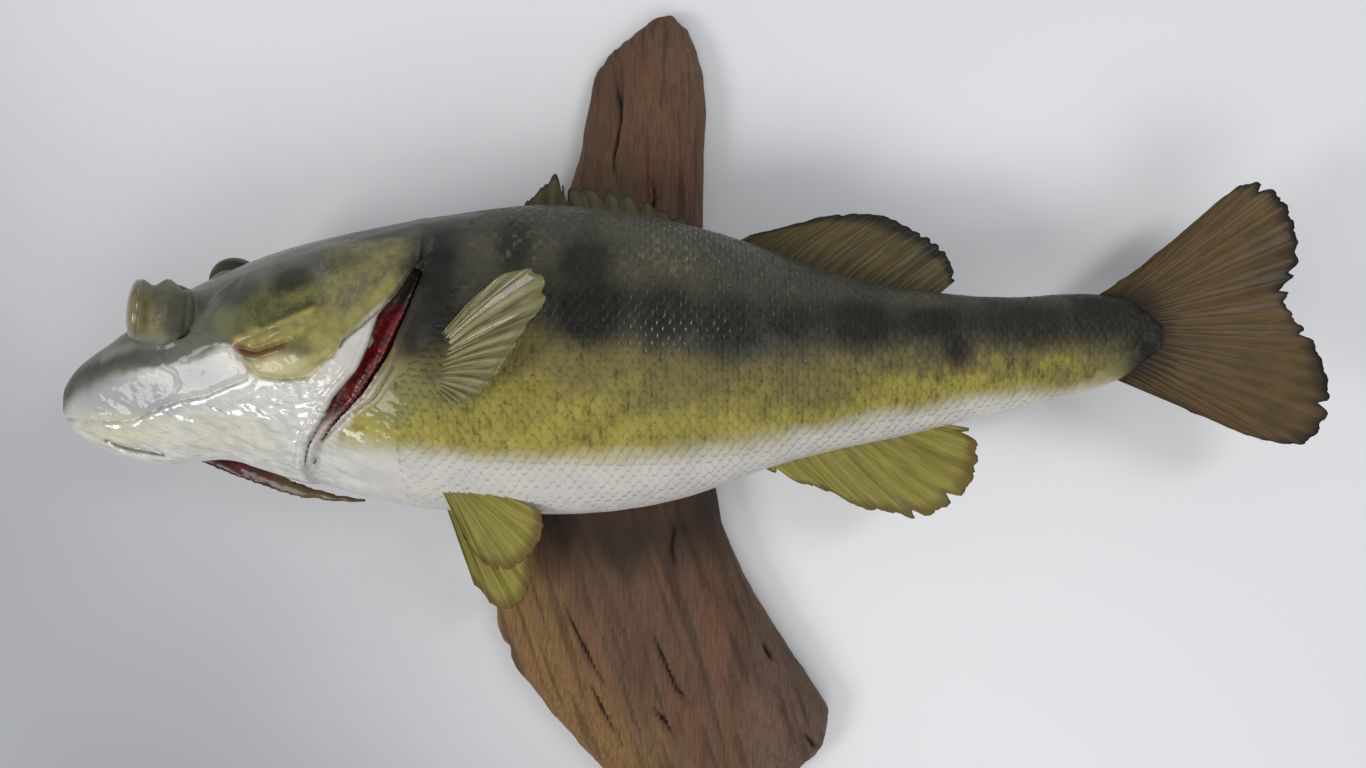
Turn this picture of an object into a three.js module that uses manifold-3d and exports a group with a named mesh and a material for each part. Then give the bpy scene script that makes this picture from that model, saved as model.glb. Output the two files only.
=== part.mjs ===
// A mounted largemouth bass on its driftwood, lying on its back as it does on a bench.
// Millimetres. +X runs from snout to tail, +Y from belly to back, +Z out of the left flank.
import * as THREE from "three";
import { mergeVertices } from "three/addons/utils/BufferGeometryUtils.js";
import Module from "manifold-3d";

const wasm = await Module();
wasm.setup();

// Driving dimensions.
const SNOUT_X = -253;
const STEM_END_X = 187;
const MID_Z = 60; // height of the fish's middle plane above the flat back of the wood
const GAP = 0.3; // clearance between neighbouring pieces
const RING = 26; // points round the body
const HEAD_ROLL = 18; // degrees that the back of the head leans to the left flank
const GILL_DEPTH = 7; // how far the gills lie under the gill covers
const COVER_WALL = 3; // thickness of a gill cover
const EYE_RADIUS = 11;
const EYE_DOME = 6.5; // depth of the right eye's dome
const STEM_FRONT = 100; // where the tail stem begins
const THROAT_HALF = 9; // half width of the throat between the gill slits

// Outlines of the body, each a list of [x, value] stations.
const BACK = [
  [-253.2, 4], [-249.5, 14], [-245, 19.5], [-230, 30], [-219, 38], [-203, 48.5], [-190, 54.5], [-175, 61],
  [-155, 67.5], [-139, 71.5], [-119, 75.5], [-83, 82], [-59, 83.8], [-31, 81], [-6, 76.3], [15, 70.6],
  [34, 64], [50, 58], [70, 52.6], [94, 49.2], [122, 47], [162, 49], [176, 46.6], [184, 41], [189, 31],
];
const BELLY = [
  [-253.2, 2], [-251, -4.5], [-237, -13.5], [-223, -19], [-210, -21.3], [-200, -19.3], [-190, -17.8],
  [-181, -19], [-170, -23.5], [-154, -29.5], [-133, -35], [-103, -39.5], [-55, -41.5], [-31, -40],
  [-7, -35.4], [10, -30], [28, -23], [54, -16], [82, -10.3], [138, 3], [162, 9], [174, 14], [184, 22],
  [189, 29],
];
const HEAD_WIDTH = [
  [-253.2, 1], [-250.5, 8.5], [-245, 14.5], [-232, 21], [-215, 25.5], [-200, 29], [-180, 33],
  [-160, 36.5], [-140, 39], [-120, 41.5], [-104, 43.5], [-96, 43.5],
];
const TRUNK_WIDTH = [
  [-170, 20], [-150, 28], [-130, 33], [-105, 36.5], [-60, 40], [-20, 39.5], [20, 33], [60, 24],
  [100, 16.5], [140, 11], [165, 8], [180, 5.5], [189, 2.5],
];
const WIDEST_LEVEL = [
  [-255, 3], [-235, 6], [-200, 15], [-170, 20], [-140, 23], [-90, 24], [0, 20], [60, 20], [120, 24],
  [189, 30],
];

// A smooth function through stations, with slopes held down so that it doesn't overshoot.
function through(stations) {
  const slope = (i) => (stations[i + 1][1] - stations[i][1]) / (stations[i + 1][0] - stations[i][0]);
  const last = stations.length - 1;
  const tangents = stations.map((_, i) => {
    if (i === 0) return slope(0);
    if (i === last) return slope(last - 1);
    const [before, after] = [slope(i - 1), slope(i)];
    return before * after <= 0 ? 0 : (2 * before * after) / (before + after);
  });
  return (x) => {
    if (x <= stations[0][0]) return stations[0][1];
    if (x >= stations[last][0]) return stations[last][1];
    const i = stations.findIndex((s, n) => n < last && x < stations[n + 1][0]);
    const width = stations[i + 1][0] - stations[i][0];
    const t = (x - stations[i][0]) / width;
    return (
      stations[i][1] * (1 + 2 * t) * (1 - t) ** 2 +
      tangents[i] * width * t * (1 - t) ** 2 +
      stations[i + 1][1] * t * t * (3 - 2 * t) +
      tangents[i + 1] * width * t * t * (t - 1)
    );
  };
}

const back = through(BACK);
const belly = through(BELLY);
const widestLevel = through(WIDEST_LEVEL);
const roll = through([[-255, HEAD_ROLL], [-170, HEAD_ROLL], [-80, 0], [189, 0]]);
const roundness = through([[-255, 0.9], [-228, 0.78], [-180, 0.76], [-140, 0.86], [-100, 0.9], [189, 0.9]]);

// A closed surface over rings of equal count, with a pole at each end.
function overRings(rings) {
  const count = rings[0].length;
  const centre = (ring) => ring.reduce((sum, p) => sum.add(p), new THREE.Vector3()).divideScalar(count);
  const points = [...rings.flat(), centre(rings[0]), centre(rings[rings.length - 1])];
  const index = [];
  for (let r = 0; r < rings.length - 1; r++)
    for (let i = 0; i < count; i++) {
      const a = r * count + i;
      const b = r * count + ((i + 1) % count);
      index.push(a, b, a + count, b, b + count, a + count);
    }
  const firstPole = rings.length * count;
  const lastRing = (rings.length - 1) * count;
  for (let i = 0; i < count; i++) {
    const next = (i + 1) % count;
    index.push(next, i, firstPole, lastRing + i, lastRing + next, firstPole + 1);
  }
  return new THREE.BufferGeometry().setFromPoints(points).setIndex(index);
}

function solidOf(geometry) {
  const bare = geometry.clone();
  for (const name of ["normal", "uv"]) bare.deleteAttribute(name);
  const merged = mergeVertices(bare, 1e-4);
  const vertProperties = merged.attributes.position.array;
  const make = (triVerts) => new wasm.Manifold(new wasm.Mesh({ numProp: 3, vertProperties, triVerts }));
  const solid = make(new Uint32Array(merged.index.array));
  return solid.volume() > 0 ? solid : make(new Uint32Array(merged.index.array).reverse());
}

function geometryOf(solid) {
  const mesh = solid.getMesh();
  const position = new THREE.BufferAttribute(new Float32Array(mesh.vertProperties), 3);
  return new THREE.BufferGeometry().setAttribute("position", position).setIndex([...mesh.triVerts]);
}

// The outline [x, y] carried straight through the body, between two heights.
function prism(outline, low = -50, high = 200) {
  const shape = new THREE.Shape(outline.map(([x, y]) => new THREE.Vector2(x, y)));
  const geometry = new THREE.ExtrudeGeometry(shape, { depth: high - low, bevelEnabled: false });
  return solidOf(geometry.translate(0, 0, low));
}

// One cross-section of the body: a superellipse about its widest level, rolled about it.
function section(x, halfWidth, grow, place) {
  const level = widestLevel(x);
  const rise = Math.max(back(x) - level + grow, 0.5);
  const drop = Math.max(level - belly(x) + grow, 0.5);
  const side = Math.max(halfWidth + grow, 0.5);
  const tilt = THREE.MathUtils.degToRad(roll(x));
  return Array.from({ length: RING }, (_, i) => {
    const angle = (2 * Math.PI * i) / RING;
    const squared = (v) => Math.sign(v) * Math.abs(v) ** roundness(x);
    const up = squared(Math.sin(angle)) * (Math.sin(angle) > 0 ? rise : drop);
    const out = squared(Math.cos(angle)) * side;
    return new THREE.Vector3(
      place,
      level + up * Math.cos(tilt) - out * Math.sin(tilt),
      MID_Z + up * Math.sin(tilt) + out * Math.cos(tilt),
    );
  });
}

function bodyForm(widths, fromX, toX, steps, grow = 0, ease = 1) {
  const width = through(widths);
  const rings = [];
  for (let i = 0; i <= steps; i++) {
    const x = fromX + (toX - fromX) * (i / steps) ** ease;
    rings.push(section(x, width(x), grow, x + grow * (2 * (i / steps) - 1)));
  }
  return solidOf(overRings(rings));
}

const headForm = (grow = 0) => bodyForm(HEAD_WIDTH, SNOUT_X, -96, 18, grow, 1.3);
const trunkForm = (grow = 0) => bodyForm(TRUNK_WIDTH, -168, STEM_END_X, 24, grow);

// The rear edge of the gill covers, from the nape to the throat, and the shoulder behind it.
const COVER_EDGE = [
  [-106, 78], [-103.5, 66], [-102.5, 58.5], [-109.5, 46], [-117, 37], [-120.5, 26], [-125, 17],
  [-135, 6.5], [-141.5, -3.5], [-148.5, -12.5], [-152.5, -22],
];
const SHOULDER_EDGE = [
  [-106, 78], [-103.5, 66], [-102, 58], [-105.5, 47], [-109.5, 35], [-116, 21.5], [-125.5, 8.5],
  [-135.5, -1], [-145.5, -11], [-151.8, -22],
];
const CHEEK_EDGE = [
  [-112, 72], [-134, 66], [-143, 55], [-138, 42], [-135.5, 25], [-139, 10], [-148, -6], [-158, -22],
];

const shifted = (outline, dx, dy = 0) => outline.map(([x, y]) => [x + dx, y + dy]);
const aheadOf = (edge) =>
  prism([[edge[0][0], 160], ...edge, [edge.at(-1)[0], -120], [-330, -120], [-330, 160]]);
const between = (front, rear) => prism([...front, ...[...rear].reverse()]);

// Head, lower jaw and gill covers come from one head form, parted by thin cuts.
const headWhole = headForm().intersect(aheadOf(COVER_EDGE));
const GILLS_FRONT = 3; // how far behind the cheek's rear edge the gills begin
const gillBed = headForm(-GILL_DEPTH)
  .intersect(between(shifted(CHEEK_EDGE, GILLS_FRONT), shifted(SHOULDER_EDGE, -GAP)));
const gillRoom = headForm(-COVER_WALL)
  .intersect(between(shifted(CHEEK_EDGE, GILLS_FRONT - GAP), shifted(SHOULDER_EDGE, 20)));
const coverBand = between(CHEEK_EDGE, shifted(CHEEK_EDGE, 70, 0));
const MOUTH_LINE = [[-262, -4], [-245, -1.8], [-230, 0], [-212, 2.6], [-196, 6], [-183, 11], [-173, 15.5]];
const JAW_REAR = [[-171, 11], [-176, 2], [-184, -10], [-190, -32]];
const jawRegion = prism([...MOUTH_LINE, ...JAW_REAR, [-262, -32]]);
const jawRoom = prism([...shifted(MOUTH_LINE, 0, GAP), ...shifted(JAW_REAR, GAP), [-262, -33]]);
// The throat joins head and trunk between the gill slits; the roll carries it to the right.
const THROAT_Z = MID_Z - 14;
const throatBox = (clear) => [[-190, clear - 18], [-100, clear - 18], [-100, -60], [-190, -60]];
const throatColumn = (clear) =>
  prism(throatBox(clear), THROAT_Z - THROAT_HALF - clear, THROAT_Z + THROAT_HALF + clear);
const throat = throatColumn(0);

// A rounded lens or lump: a sphere scaled along its own axis and set by centre and axis.
function lump(centre, radii, axis = [0, 0, 1], segments = 14) {
  const turn = new THREE.Quaternion().setFromUnitVectors(
    new THREE.Vector3(0, 0, 1),
    new THREE.Vector3(...axis).normalize(),
  );
  const geometry = new THREE.SphereGeometry(1, segments, segments / 2);
  geometry.scale(...radii).applyQuaternion(turn).translate(...centre);
  return solidOf(geometry);
}

// A turned plug along an axis, from a [radius, distance] profile that starts and ends on the axis.
function plug(centre, axis, profile, segments = 18) {
  const turn = new THREE.Quaternion().setFromUnitVectors(
    new THREE.Vector3(0, 1, 0),
    new THREE.Vector3(...axis).normalize(),
  );
  const points = profile.map(([radius, along]) => new THREE.Vector2(radius, along));
  const geometry = new THREE.LatheGeometry(points, segments);
  return solidOf(geometry.applyQuaternion(turn).translate(...centre));
}

// Left eye: a glass eye pushed out of its shrunken socket on the tan filler that holds it.
const LEFT_EYE = [-205, 39.8, 97];
const LEFT_AXIS = [-0.72, 0.12, 0.68];
const leftEye = plug(LEFT_EYE, LEFT_AXIS, [
  [0, -2.2], [8, -2.2], [EYE_RADIUS - 0.4, -1.6], [EYE_RADIUS, 0], [9.8, 2.1], [7.4, 3.8], [4, 4.8],
  [0, 5.1],
]);
const leftFiller = (grow = 0) =>
  plug(LEFT_EYE, LEFT_AXIS, [
    [0, -2.5], [9.6 + grow, -2.5], [9.2 + grow, -7], [9.8 + grow, -11], [10 + grow, -15], [0, -15 - grow],
  ]);
// Right eye: seated as in life, with its dome just above the brow.
const RIGHT_EYE = [-191.5, 54.5, 42.5];
const RIGHT_AXIS = [-0.2, 0.55, -0.81];
const rightEye = (grow = 0) =>
  lump(RIGHT_EYE, [EYE_RADIUS - 0.5 + grow, EYE_RADIUS - 0.5 + grow, EYE_DOME + grow], RIGHT_AXIS);
const brow = lump([-199.5, 44.5, 85], [8.5, 5.5, 9], LEFT_AXIS);
const lowerLid = lump([-203, 29.5, 87], [10, 3.4, 7], LEFT_AXIS);
const rightBrow = lump([-189.5, 48, 49.5], [12.5, 12, 6.5], RIGHT_AXIS);

const head = headWhole
  .add(brow.add(lowerLid).add(rightBrow))
  .subtract(jawRoom)
  .subtract(coverBand.subtract(throat))
  .subtract(gillRoom.subtract(throat))
  .subtract(leftFiller(GAP))
  .subtract(leftEye)
  .subtract(rightEye(GAP));
const jaw = headWhole.intersect(jawRegion);
const coverShell = headWhole
  .intersect(between(shifted(CHEEK_EDGE, GAP), shifted(CHEEK_EDGE, 69.6)))
  .subtract(gillRoom)
  .subtract(throatColumn(GAP));
const half = (low, high) => prism([[-300, -90], [-60, -90], [-60, 120], [-300, 120]], low, high);

// Right gill cover's lower edge, sprung open below the throat: [x, upper y, lower y, z] along it.
const FLARE = [
  [-211.5, -18.2, -20.4, 37], [-203, -18.6, -23.6, 37.8], [-195.8, -18.8, -26.9, 38.7], [-188, -19.4, -29.6, 39.6],
  [-181.5, -21.4, -31.6, 40.4], [-175, -24.4, -33.7, 41.2], [-167, -28.4, -35.9, 42.2], [-158.5, -31.4, -37, 43.2],
  [-150.5, -33.4, -37.6, 44.2], [-143, -35, -37.9, 45], [-136, -35.9, -37.8, 45.8],
];
const FLARE_THICK = 2.2;
const flare = solidOf(
  overRings(
    FLARE.map(([x, upper, lower, z]) =>
      Array.from({ length: 6 }, (_, k) => {
        const angle = (2 * Math.PI * k) / 6;
        const y = (upper + lower) / 2 + ((upper - lower) / 2) * Math.sin(angle);
        return new THREE.Vector3(x, y, z + (FLARE_THICK / 2) * Math.cos(angle));
      }),
    ),
  ),
);

// The trunk reaches forward under the gill covers only as the throat.
const trunkWhole = trunkForm()
  .subtract(aheadOf(SHOULDER_EDGE).subtract(throat))
  .subtract(headForm(GAP).intersect(aheadOf(SHOULDER_EDGE)));
const stemBox = (from) => prism([[from, -60], [240, -60], [240, 120], [from, 120]]);

// A fin: a ruled sheet from a base line to a tip line, with a ridge for every ray.
// Thickness runs from root to edge, bows bend the outer rays sideways and cup bends the sheet.
function fin(options) {
  const { base, tip, rays, rows } = options;
  const { root = 3, edge = 0.7, ridge = 0.35, bows = [0, 0], cup = 0, frayed = 0.03 } = options;
  const line = (points) =>
    new THREE.CatmullRomCurve3(points.map((p) => new THREE.Vector3(...p)), false, "centripetal");
  const [baseLine, tipLine] = [line(base), line(tip)];
  const columns = rays * 2;
  const spot = (u, v) => {
    const from = baseLine.getPointAt(u);
    const to = tipLine.getPointAt(u);
    const along = to.clone().sub(from);
    const normal = new THREE.Vector3().crossVectors(baseLine.getTangentAt(u), along).normalize();
    const sideways = new THREE.Vector3().crossVectors(along, normal).normalize();
    const bow = THREE.MathUtils.lerp(bows[0], bows[1], u) * Math.sin(Math.PI * Math.min(v, 1));
    return {
      at: from.addScaledVector(along, v).addScaledVector(sideways, bow).addScaledVector(normal, cup * v * v),
      normal,
    };
  };
  const sheet = (side) => {
    const grid = [];
    for (let c = 0; c <= columns; c++) {
      const u = c / columns;
      const onRay = c % 2 === 0;
      const reach = 1 - (onRay ? frayed * 0.5 * (1 + Math.sin(c * 2.7)) : frayed * (1.4 + Math.sin(c * 1.9)));
      for (let r = 0; r <= rows; r++) {
        const v = (r / rows) * reach;
        const { at, normal } = spot(u, v);
        const rib = onRay ? ridge * (1 - v * 0.5) : 0;
        const thickness = THREE.MathUtils.lerp(root, edge, Math.sqrt(v)) + rib;
        grid.push(at.addScaledVector(normal, (side * thickness) / 2));
      }
    }
    return grid;
  };
  const width = rows + 1;
  const total = (columns + 1) * width;
  const points = [...sheet(1), ...sheet(-1)];
  const index = [];
  const quad = (a, b, c, d) => index.push(a, b, c, a, c, d);
  for (let c = 0; c < columns; c++)
    for (let r = 0; r < rows; r++) {
      const a = c * width + r;
      quad(a, a + width, a + width + 1, a + 1);
      quad(total + a, total + a + 1, total + a + width + 1, total + a + width);
    }
  for (let c = 0; c < columns; c++) {
    const [a, b] = [c * width, (c + 1) * width];
    quad(a, total + a, total + b, b);
    quad(a + rows, b + rows, total + b + rows, total + a + rows);
  }
  const end = columns * width;
  for (let r = 0; r < rows; r++) {
    quad(r, r + 1, total + r + 1, total + r);
    quad(end + r, total + end + r, total + end + r + 1, end + r + 1);
  }
  return solidOf(new THREE.BufferGeometry().setFromPoints(points).setIndex(index));
}

const atHeight = (z, points) => points.map(([x, y]) => [x, y, z]);
const caudal = fin({
  base: [[157, 46, 60], [176, 43, 60], [182, 34, 60], [178, 22, 60], [168, 12, 60]],
  tip: [
    [221, 92.5, 61], [229.5, 90.8, 62], [237.5, 81, 62], [241, 66, 62], [240, 52, 62], [235.5, 46, 62],
    [238.5, 39, 62], [246, 30, 62], [252.5, 16, 62], [253.2, 1, 62], [247, -10.5, 61], [239, -13.2, 60],
  ],
  rays: 16, rows: 3, root: 5, edge: 0.8, bows: [-5.5, 2.2], cup: 2, frayed: 0.012,
});
const anal = fin({
  base: atHeight(MID_Z, [[29, -17], [56, -10], [86, -4]]),
  tip: [
    [31, -22, 60], [37, -27, 60], [55, -33, 61], [65, -38.5, 62], [78, -40.5, 63], [90, -42.5, 64],
    [104, -34.5, 65], [111, -25.5, 65], [112.8, -13.5, 64], [109, -6, 63],
  ],
  rays: 11, rows: 3, root: 3, cup: 2,
});
const softDorsal = fin({
  base: atHeight(MID_Z, [[12, 66], [40, 56], [64, 49], [92, 44]]),
  tip: [
    [22, 71.5, 60], [34, 74.5, 59], [54, 79.8, 58], [74, 80, 57], [87, 74.6, 56], [98, 68, 56],
    [103.2, 60, 57], [104.4, 53, 58],
  ],
  rays: 10, rows: 3, root: 3, cup: -1,
});
const spinyDorsal = fin({
  base: atHeight(MID_Z - 2, [[-76, 78], [-50, 79], [-24, 76], [-4, 71]]),
  tip: [
    [-72, 88, 55], [-64, 93, 53], [-56, 98, 51], [-52, 91, 50], [-44, 92.6, 50], [-34, 92, 50],
    [-22, 88, 51], [-14, 84, 53], [-2, 78, 56],
  ],
  rays: 9, rows: 3, root: 3, ridge: 0.8, cup: 0, frayed: 0.06,
});
const leftPectoral = fin({
  base: [[-101, 25, 93], [-98.5, 17, 94], [-97, 9, 94]],
  tip: [
    [-65, 52.2, 108], [-56.5, 51.4, 111], [-53.8, 44, 113], [-58, 35, 114], [-62, 26, 114],
    [-69.5, 17.4, 113], [-77, 10, 110], [-88, 4, 104],
  ],
  rays: 12, rows: 3, root: 2.6, edge: 0.6, bows: [-4, 1], cup: 2, frayed: 0.03,
});
const rightPectoral = fin({
  base: [[-101, 25, 26], [-98.5, 17, 25], [-97, 9, 25]],
  tip: [
    [-82, 50, 15], [-74, 47, 13], [-69, 40, 11], [-68, 31, 10], [-70, 22, 10], [-74, 14, 11],
    [-80, 7, 13], [-87, 3, 16],
  ],
  rays: 9, rows: 2, root: 2.6, edge: 0.7, bows: [4, -1], frayed: 0.03,
});
const leftPelvic = fin({
  base: [[-99.5, -27.5, 79], [-93, -27.5, 81], [-87, -27, 82]],
  tip: [
    [-89.5, -49, 80], [-82, -58.5, 79], [-74, -61, 78], [-66, -56.5, 78], [-61, -50, 79],
    [-58.8, -43.5, 80], [-60, -37.5, 81],
  ],
  rays: 6, rows: 3, root: 3, edge: 0.8, bows: [-1, -1.5], frayed: 0.04,
});
const rightPelvic = fin({
  base: [[-104, -33, 54], [-99, -34.5, 53], [-94, -36, 52]],
  tip: [
    [-91, -71.5, 48], [-84, -79.3, 48], [-79.4, -81.8, 48], [-74, -80.4, 48], [-70.5, -77.5, 48],
    [-67.8, -69.5, 49], [-68.5, -60, 50],
  ],
  rays: 6, rows: 3, root: 3, edge: 0.8, bows: [-3, 0], frayed: 0.04,
});

// Driftwood: a weathered length of root, flat at the back, thick in the middle.
const WOOD_TOP = 176.5;
const WOOD_END = -176.5;
const WOOD_LEFT = through([
  [-176.5, -12], [-173, -23], [-166, -34], [-157, -45.5], [-149, -52], [-140, -59.5], [-127, -71.5],
  [-112, -83], [-98, -88.5], [-80, -90.3], [-66, -88.5], [-40, -75], [0, -62], [50, -58], [98, -57.5],
  [106, -55], [114, -51.5], [124, -50], [144, -47.5], [154, -43.5], [163, -35], [170, -26], [174.5, -20],
  [176.5, -16],
]);
const WOOD_RIGHT = through([
  [-176.5, 18], [-173, 30], [-166, 41], [-157, 50.5], [-145, 60.5], [-138, 61.5], [-126, 56], [-109, 45],
  [-93, 34.5], [-73, 22.5], [-59, 16], [-34, 8.6], [26, 6], [80, 4.6], [107, 4], [135, 6], [150, 4.2],
  [165, -0.5], [174, -6], [176.5, -10],
]);
const WOOD_THICK = through([
  [-176.5, 15], [-162, 23], [-120, 29], [-60, 31], [20, 29], [90, 25], [150, 18], [170, 13], [176.5, 9],
]);
const WOOD_STEPS = 22;
const WOOD_TOP_POINTS = 13;
const WOOD_BACK_POINTS = 5;
const WOOD_FLAT = 0.94; // share of the width that the flat back takes up
const woodRings = Array.from({ length: WOOD_STEPS + 1 }, (_, i) => {
  const share = i / WOOD_STEPS;
  const y = THREE.MathUtils.lerp(WOOD_END, WOOD_TOP, (1 - Math.cos(Math.PI * share)) / 2);
  const [left, right] = [WOOD_LEFT(y), WOOD_RIGHT(y)];
  const [middle, side] = [(left + right) / 2, (right - left) / 2];
  const ring = [];
  for (let k = 0; k < WOOD_TOP_POINTS; k++) {
    const angle = (Math.PI * k) / (WOOD_TOP_POINTS - 1);
    const across = Math.sign(Math.cos(angle)) * Math.abs(Math.cos(angle)) ** 0.72;
    const furrow = 1 + 0.05 * Math.sin(7 * across + y / 40) + 0.035 * Math.sin(15 * across - y / 25);
    const rise = Math.sin(angle) ** 0.6 * furrow * WOOD_THICK(y);
    const edgeLift = 3.5 * Math.abs(across) ** 6;
    ring.push(new THREE.Vector3(middle + side * across, y, Math.max(rise, edgeLift)));
  }
  for (let k = 0; k < WOOD_BACK_POINTS; k++)
    ring.push(new THREE.Vector3(middle + side * WOOD_FLAT * ((2 * k) / (WOOD_BACK_POINTS - 1) - 1), y, 0));
  return ring;
});
const wood = solidOf(overRings(woodRings)).subtract(trunkForm(GAP));

// Colours and finishes.
const finish = (color, roughness) => new THREE.MeshStandardMaterial({ color, roughness, metalness: 0 });
const SKIN_DARK = finish(0x3d4030, 0.35);
const SKIN_PALE = finish(0xd9d6c4, 0.3);
const COVER = finish(0x7c7434, 0.35);
const GILL = finish(0x8c1015, 0.4);
const FIN_OLIVE = finish(0x8d8a3e, 0.4);
const FIN_BROWN = finish(0x5e4a2a, 0.45);
const GLASS = finish(0x6a5a2c, 0.08);
const FILLER = finish(0x96703a, 0.55);
const WOOD = finish(0x7a5238, 0.85);

const bass = new THREE.Group();
function piece(name, solid, material) {
  const mesh = new THREE.Mesh(geometryOf(solid), material);
  mesh.name = name;
  bass.add(mesh);
}

const bodyRoom = trunkForm(GAP).add(headForm(GAP));
piece("head", head, SKIN_DARK);
piece("lower_jaw", jaw, SKIN_PALE);
piece("gill_cover_left", coverShell.intersect(half(MID_Z + 2, 200)), COVER);
piece("gill_cover_right", coverShell.intersect(half(-50, MID_Z - 2)), COVER);
piece("gills", gillBed.subtract(throat), GILL);
piece("gill_flare_right", flare.subtract(bodyRoom), COVER);
piece("trunk", trunkWhole.subtract(stemBox(STEM_FRONT)), SKIN_DARK);
piece("tail_stem", trunkWhole.intersect(stemBox(STEM_FRONT + GAP)), SKIN_DARK);
piece("eye_left", leftEye, GLASS);
piece("eye_filler_left", leftFiller(), FILLER);
piece("eye_right", rightEye(), GLASS);
piece("dorsal_fin_spiny", spinyDorsal.subtract(bodyRoom), FIN_BROWN);
piece("dorsal_fin_soft", softDorsal.subtract(bodyRoom), FIN_BROWN);
piece("anal_fin", anal.subtract(bodyRoom), FIN_OLIVE);
piece("caudal_fin", caudal.subtract(bodyRoom), FIN_BROWN);
piece("pectoral_fin_left", leftPectoral.subtract(bodyRoom), FIN_OLIVE);
piece("pectoral_fin_right", rightPectoral.subtract(bodyRoom), FIN_OLIVE);
piece("pelvic_fin_left", leftPelvic.subtract(bodyRoom), FIN_OLIVE);
piece("pelvic_fin_right", rightPelvic.subtract(bodyRoom), FIN_OLIVE);
piece("driftwood", wood, WOOD);

export default bass;
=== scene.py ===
"""A largemouth bass as a taxidermist mounts it, skin over a light form, on a slab of driftwood.

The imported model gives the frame, the outline and the sizes. This script dresses it: the painted and
varnished skin with its scales, the glass eyes, the gills, the fins with their rays and the weathered wood.
Places and sizes are in millimetres, and are turned to metres where a mesh, a lamp or the camera is placed.
"""

import math

import bpy
import numpy as np
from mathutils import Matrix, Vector, noise
from mathutils.bvhtree import BVHTree


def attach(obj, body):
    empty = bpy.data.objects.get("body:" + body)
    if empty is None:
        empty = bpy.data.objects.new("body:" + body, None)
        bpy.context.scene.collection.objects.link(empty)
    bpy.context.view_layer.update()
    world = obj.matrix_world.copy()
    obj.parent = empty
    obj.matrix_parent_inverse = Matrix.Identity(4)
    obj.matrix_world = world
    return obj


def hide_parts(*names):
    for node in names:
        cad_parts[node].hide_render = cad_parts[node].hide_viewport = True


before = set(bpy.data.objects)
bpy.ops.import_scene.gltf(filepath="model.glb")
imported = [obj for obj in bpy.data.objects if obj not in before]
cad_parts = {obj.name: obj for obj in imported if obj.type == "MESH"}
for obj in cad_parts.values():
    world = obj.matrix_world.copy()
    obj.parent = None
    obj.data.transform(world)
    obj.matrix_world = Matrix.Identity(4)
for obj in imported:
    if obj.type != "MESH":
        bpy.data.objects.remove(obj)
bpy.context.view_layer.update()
MM = 0.001

# --- Table, light and camera -------------------------------------------------------------------------
# The mount lies on a white table, darkened towards the lower left by a painted soft shadow, under soft light
# from a window and a pale ceiling.
# The camera hangs over the middle of the fish and looks straight down.
CAMERA_PLACE = (-5.4, 11.5, 535)
LENS_MM = 31.18
SENSOR_MM = 36
TABLE_SIZE = 5  # in metres


def in_scene(name, data):
    """A new object for a mesh, a lamp or the camera."""
    made = bpy.data.objects.new(name, data)
    bpy.context.scene.collection.objects.link(made)
    return made


def tone(red, green, blue):
    """A paint colour, given on a 0 to 255 scale, as the linear numbers the shader takes."""
    parts = (part / 255 / 12.92 if part < 10 else ((part / 255 + 0.055) / 1.055) ** 2.4
             for part in (red, green, blue))
    return (*parts, 1)


class Wire:
    """One socket in a finish. Arithmetic on it adds Math nodes, and node() adds any other node."""

    def __init__(self, tree, socket):
        self.tree = tree
        self.socket = socket

    def node(self, kind, settings=None, sockets=None, output=0):
        made = self.tree.nodes.new(kind)
        for key, value in (settings or {}).items():
            setattr(made, key, value)
        for key, value in (sockets or {}).items():
            if isinstance(value, Wire):
                self.tree.links.new(value.socket, made.inputs[key])
            else:
                made.inputs[key].default_value = value
        return Wire(self.tree, made.outputs[output])

    def maths(self, operation, *others):
        sockets = dict(enumerate((self, *others)))
        return self.node("ShaderNodeMath", {"operation": operation}, sockets)

    def __add__(self, other):
        return self.maths("ADD", other)

    def __mul__(self, other):
        return self.maths("MULTIPLY", other)

    def __sub__(self, other):
        return self.maths("SUBTRACT", other)

    def __rsub__(self, other):
        return (self * -1) + other

    __radd__, __rmul__ = __add__, __mul__

    def __getitem__(self, name):
        """What an attribute painted on the piece says at this place."""
        return self.node("ShaderNodeAttribute", {"attribute_name": name}, {}, 2)

    def between(self, low, high):
        """0 at low, 1 at high, with soft ends."""
        settings = {"interpolation_type": "SMOOTHSTEP"}
        return self.node("ShaderNodeMapRange", settings, {"Value": self, 1: low, 2: high})

    def blend(self, first, second, kind="MIX"):
        """This value as the factor between two colours, each a wire, a paint or four linear numbers."""
        first, second = (tone(*c) if isinstance(c, tuple) and len(c) == 3 else c for c in (first, second))
        settings = {"data_type": "RGBA", "blend_type": kind}
        return self.node("ShaderNodeMix", settings, {0: self, 6: first, 7: second}, 2)

    def scaled(self, x, y, turn=0):
        """This place, stretched for a pattern and turned about Z."""
        sockets = {"Vector": self, "Scale": (x, y, 1), "Rotation": (0, 0, turn)}
        return self.node("ShaderNodeMapping", {"vector_type": "TEXTURE"}, sockets)

    def clouds(self, size, detail=3, roughness=0.5, distortion=0):
        """Noise of that size in metres, read at this place."""
        sockets = {"Vector": self, "Scale": 1 / size, "Detail": detail, "Roughness": roughness}
        return self.node("ShaderNodeTexNoise", {}, {**sockets, "Distortion": distortion})

    def part(self, axis):
        """The x or y of this place."""
        return self.node("ShaderNodeSeparateXYZ", {}, {0: self}, axis)


def painted(colour, *coats_on):
    """A colour with coats laid over it in turn, each a mask and its paint."""
    for mask, paint in coats_on:
        colour = mask.blend(colour, paint)
    return colour


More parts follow.
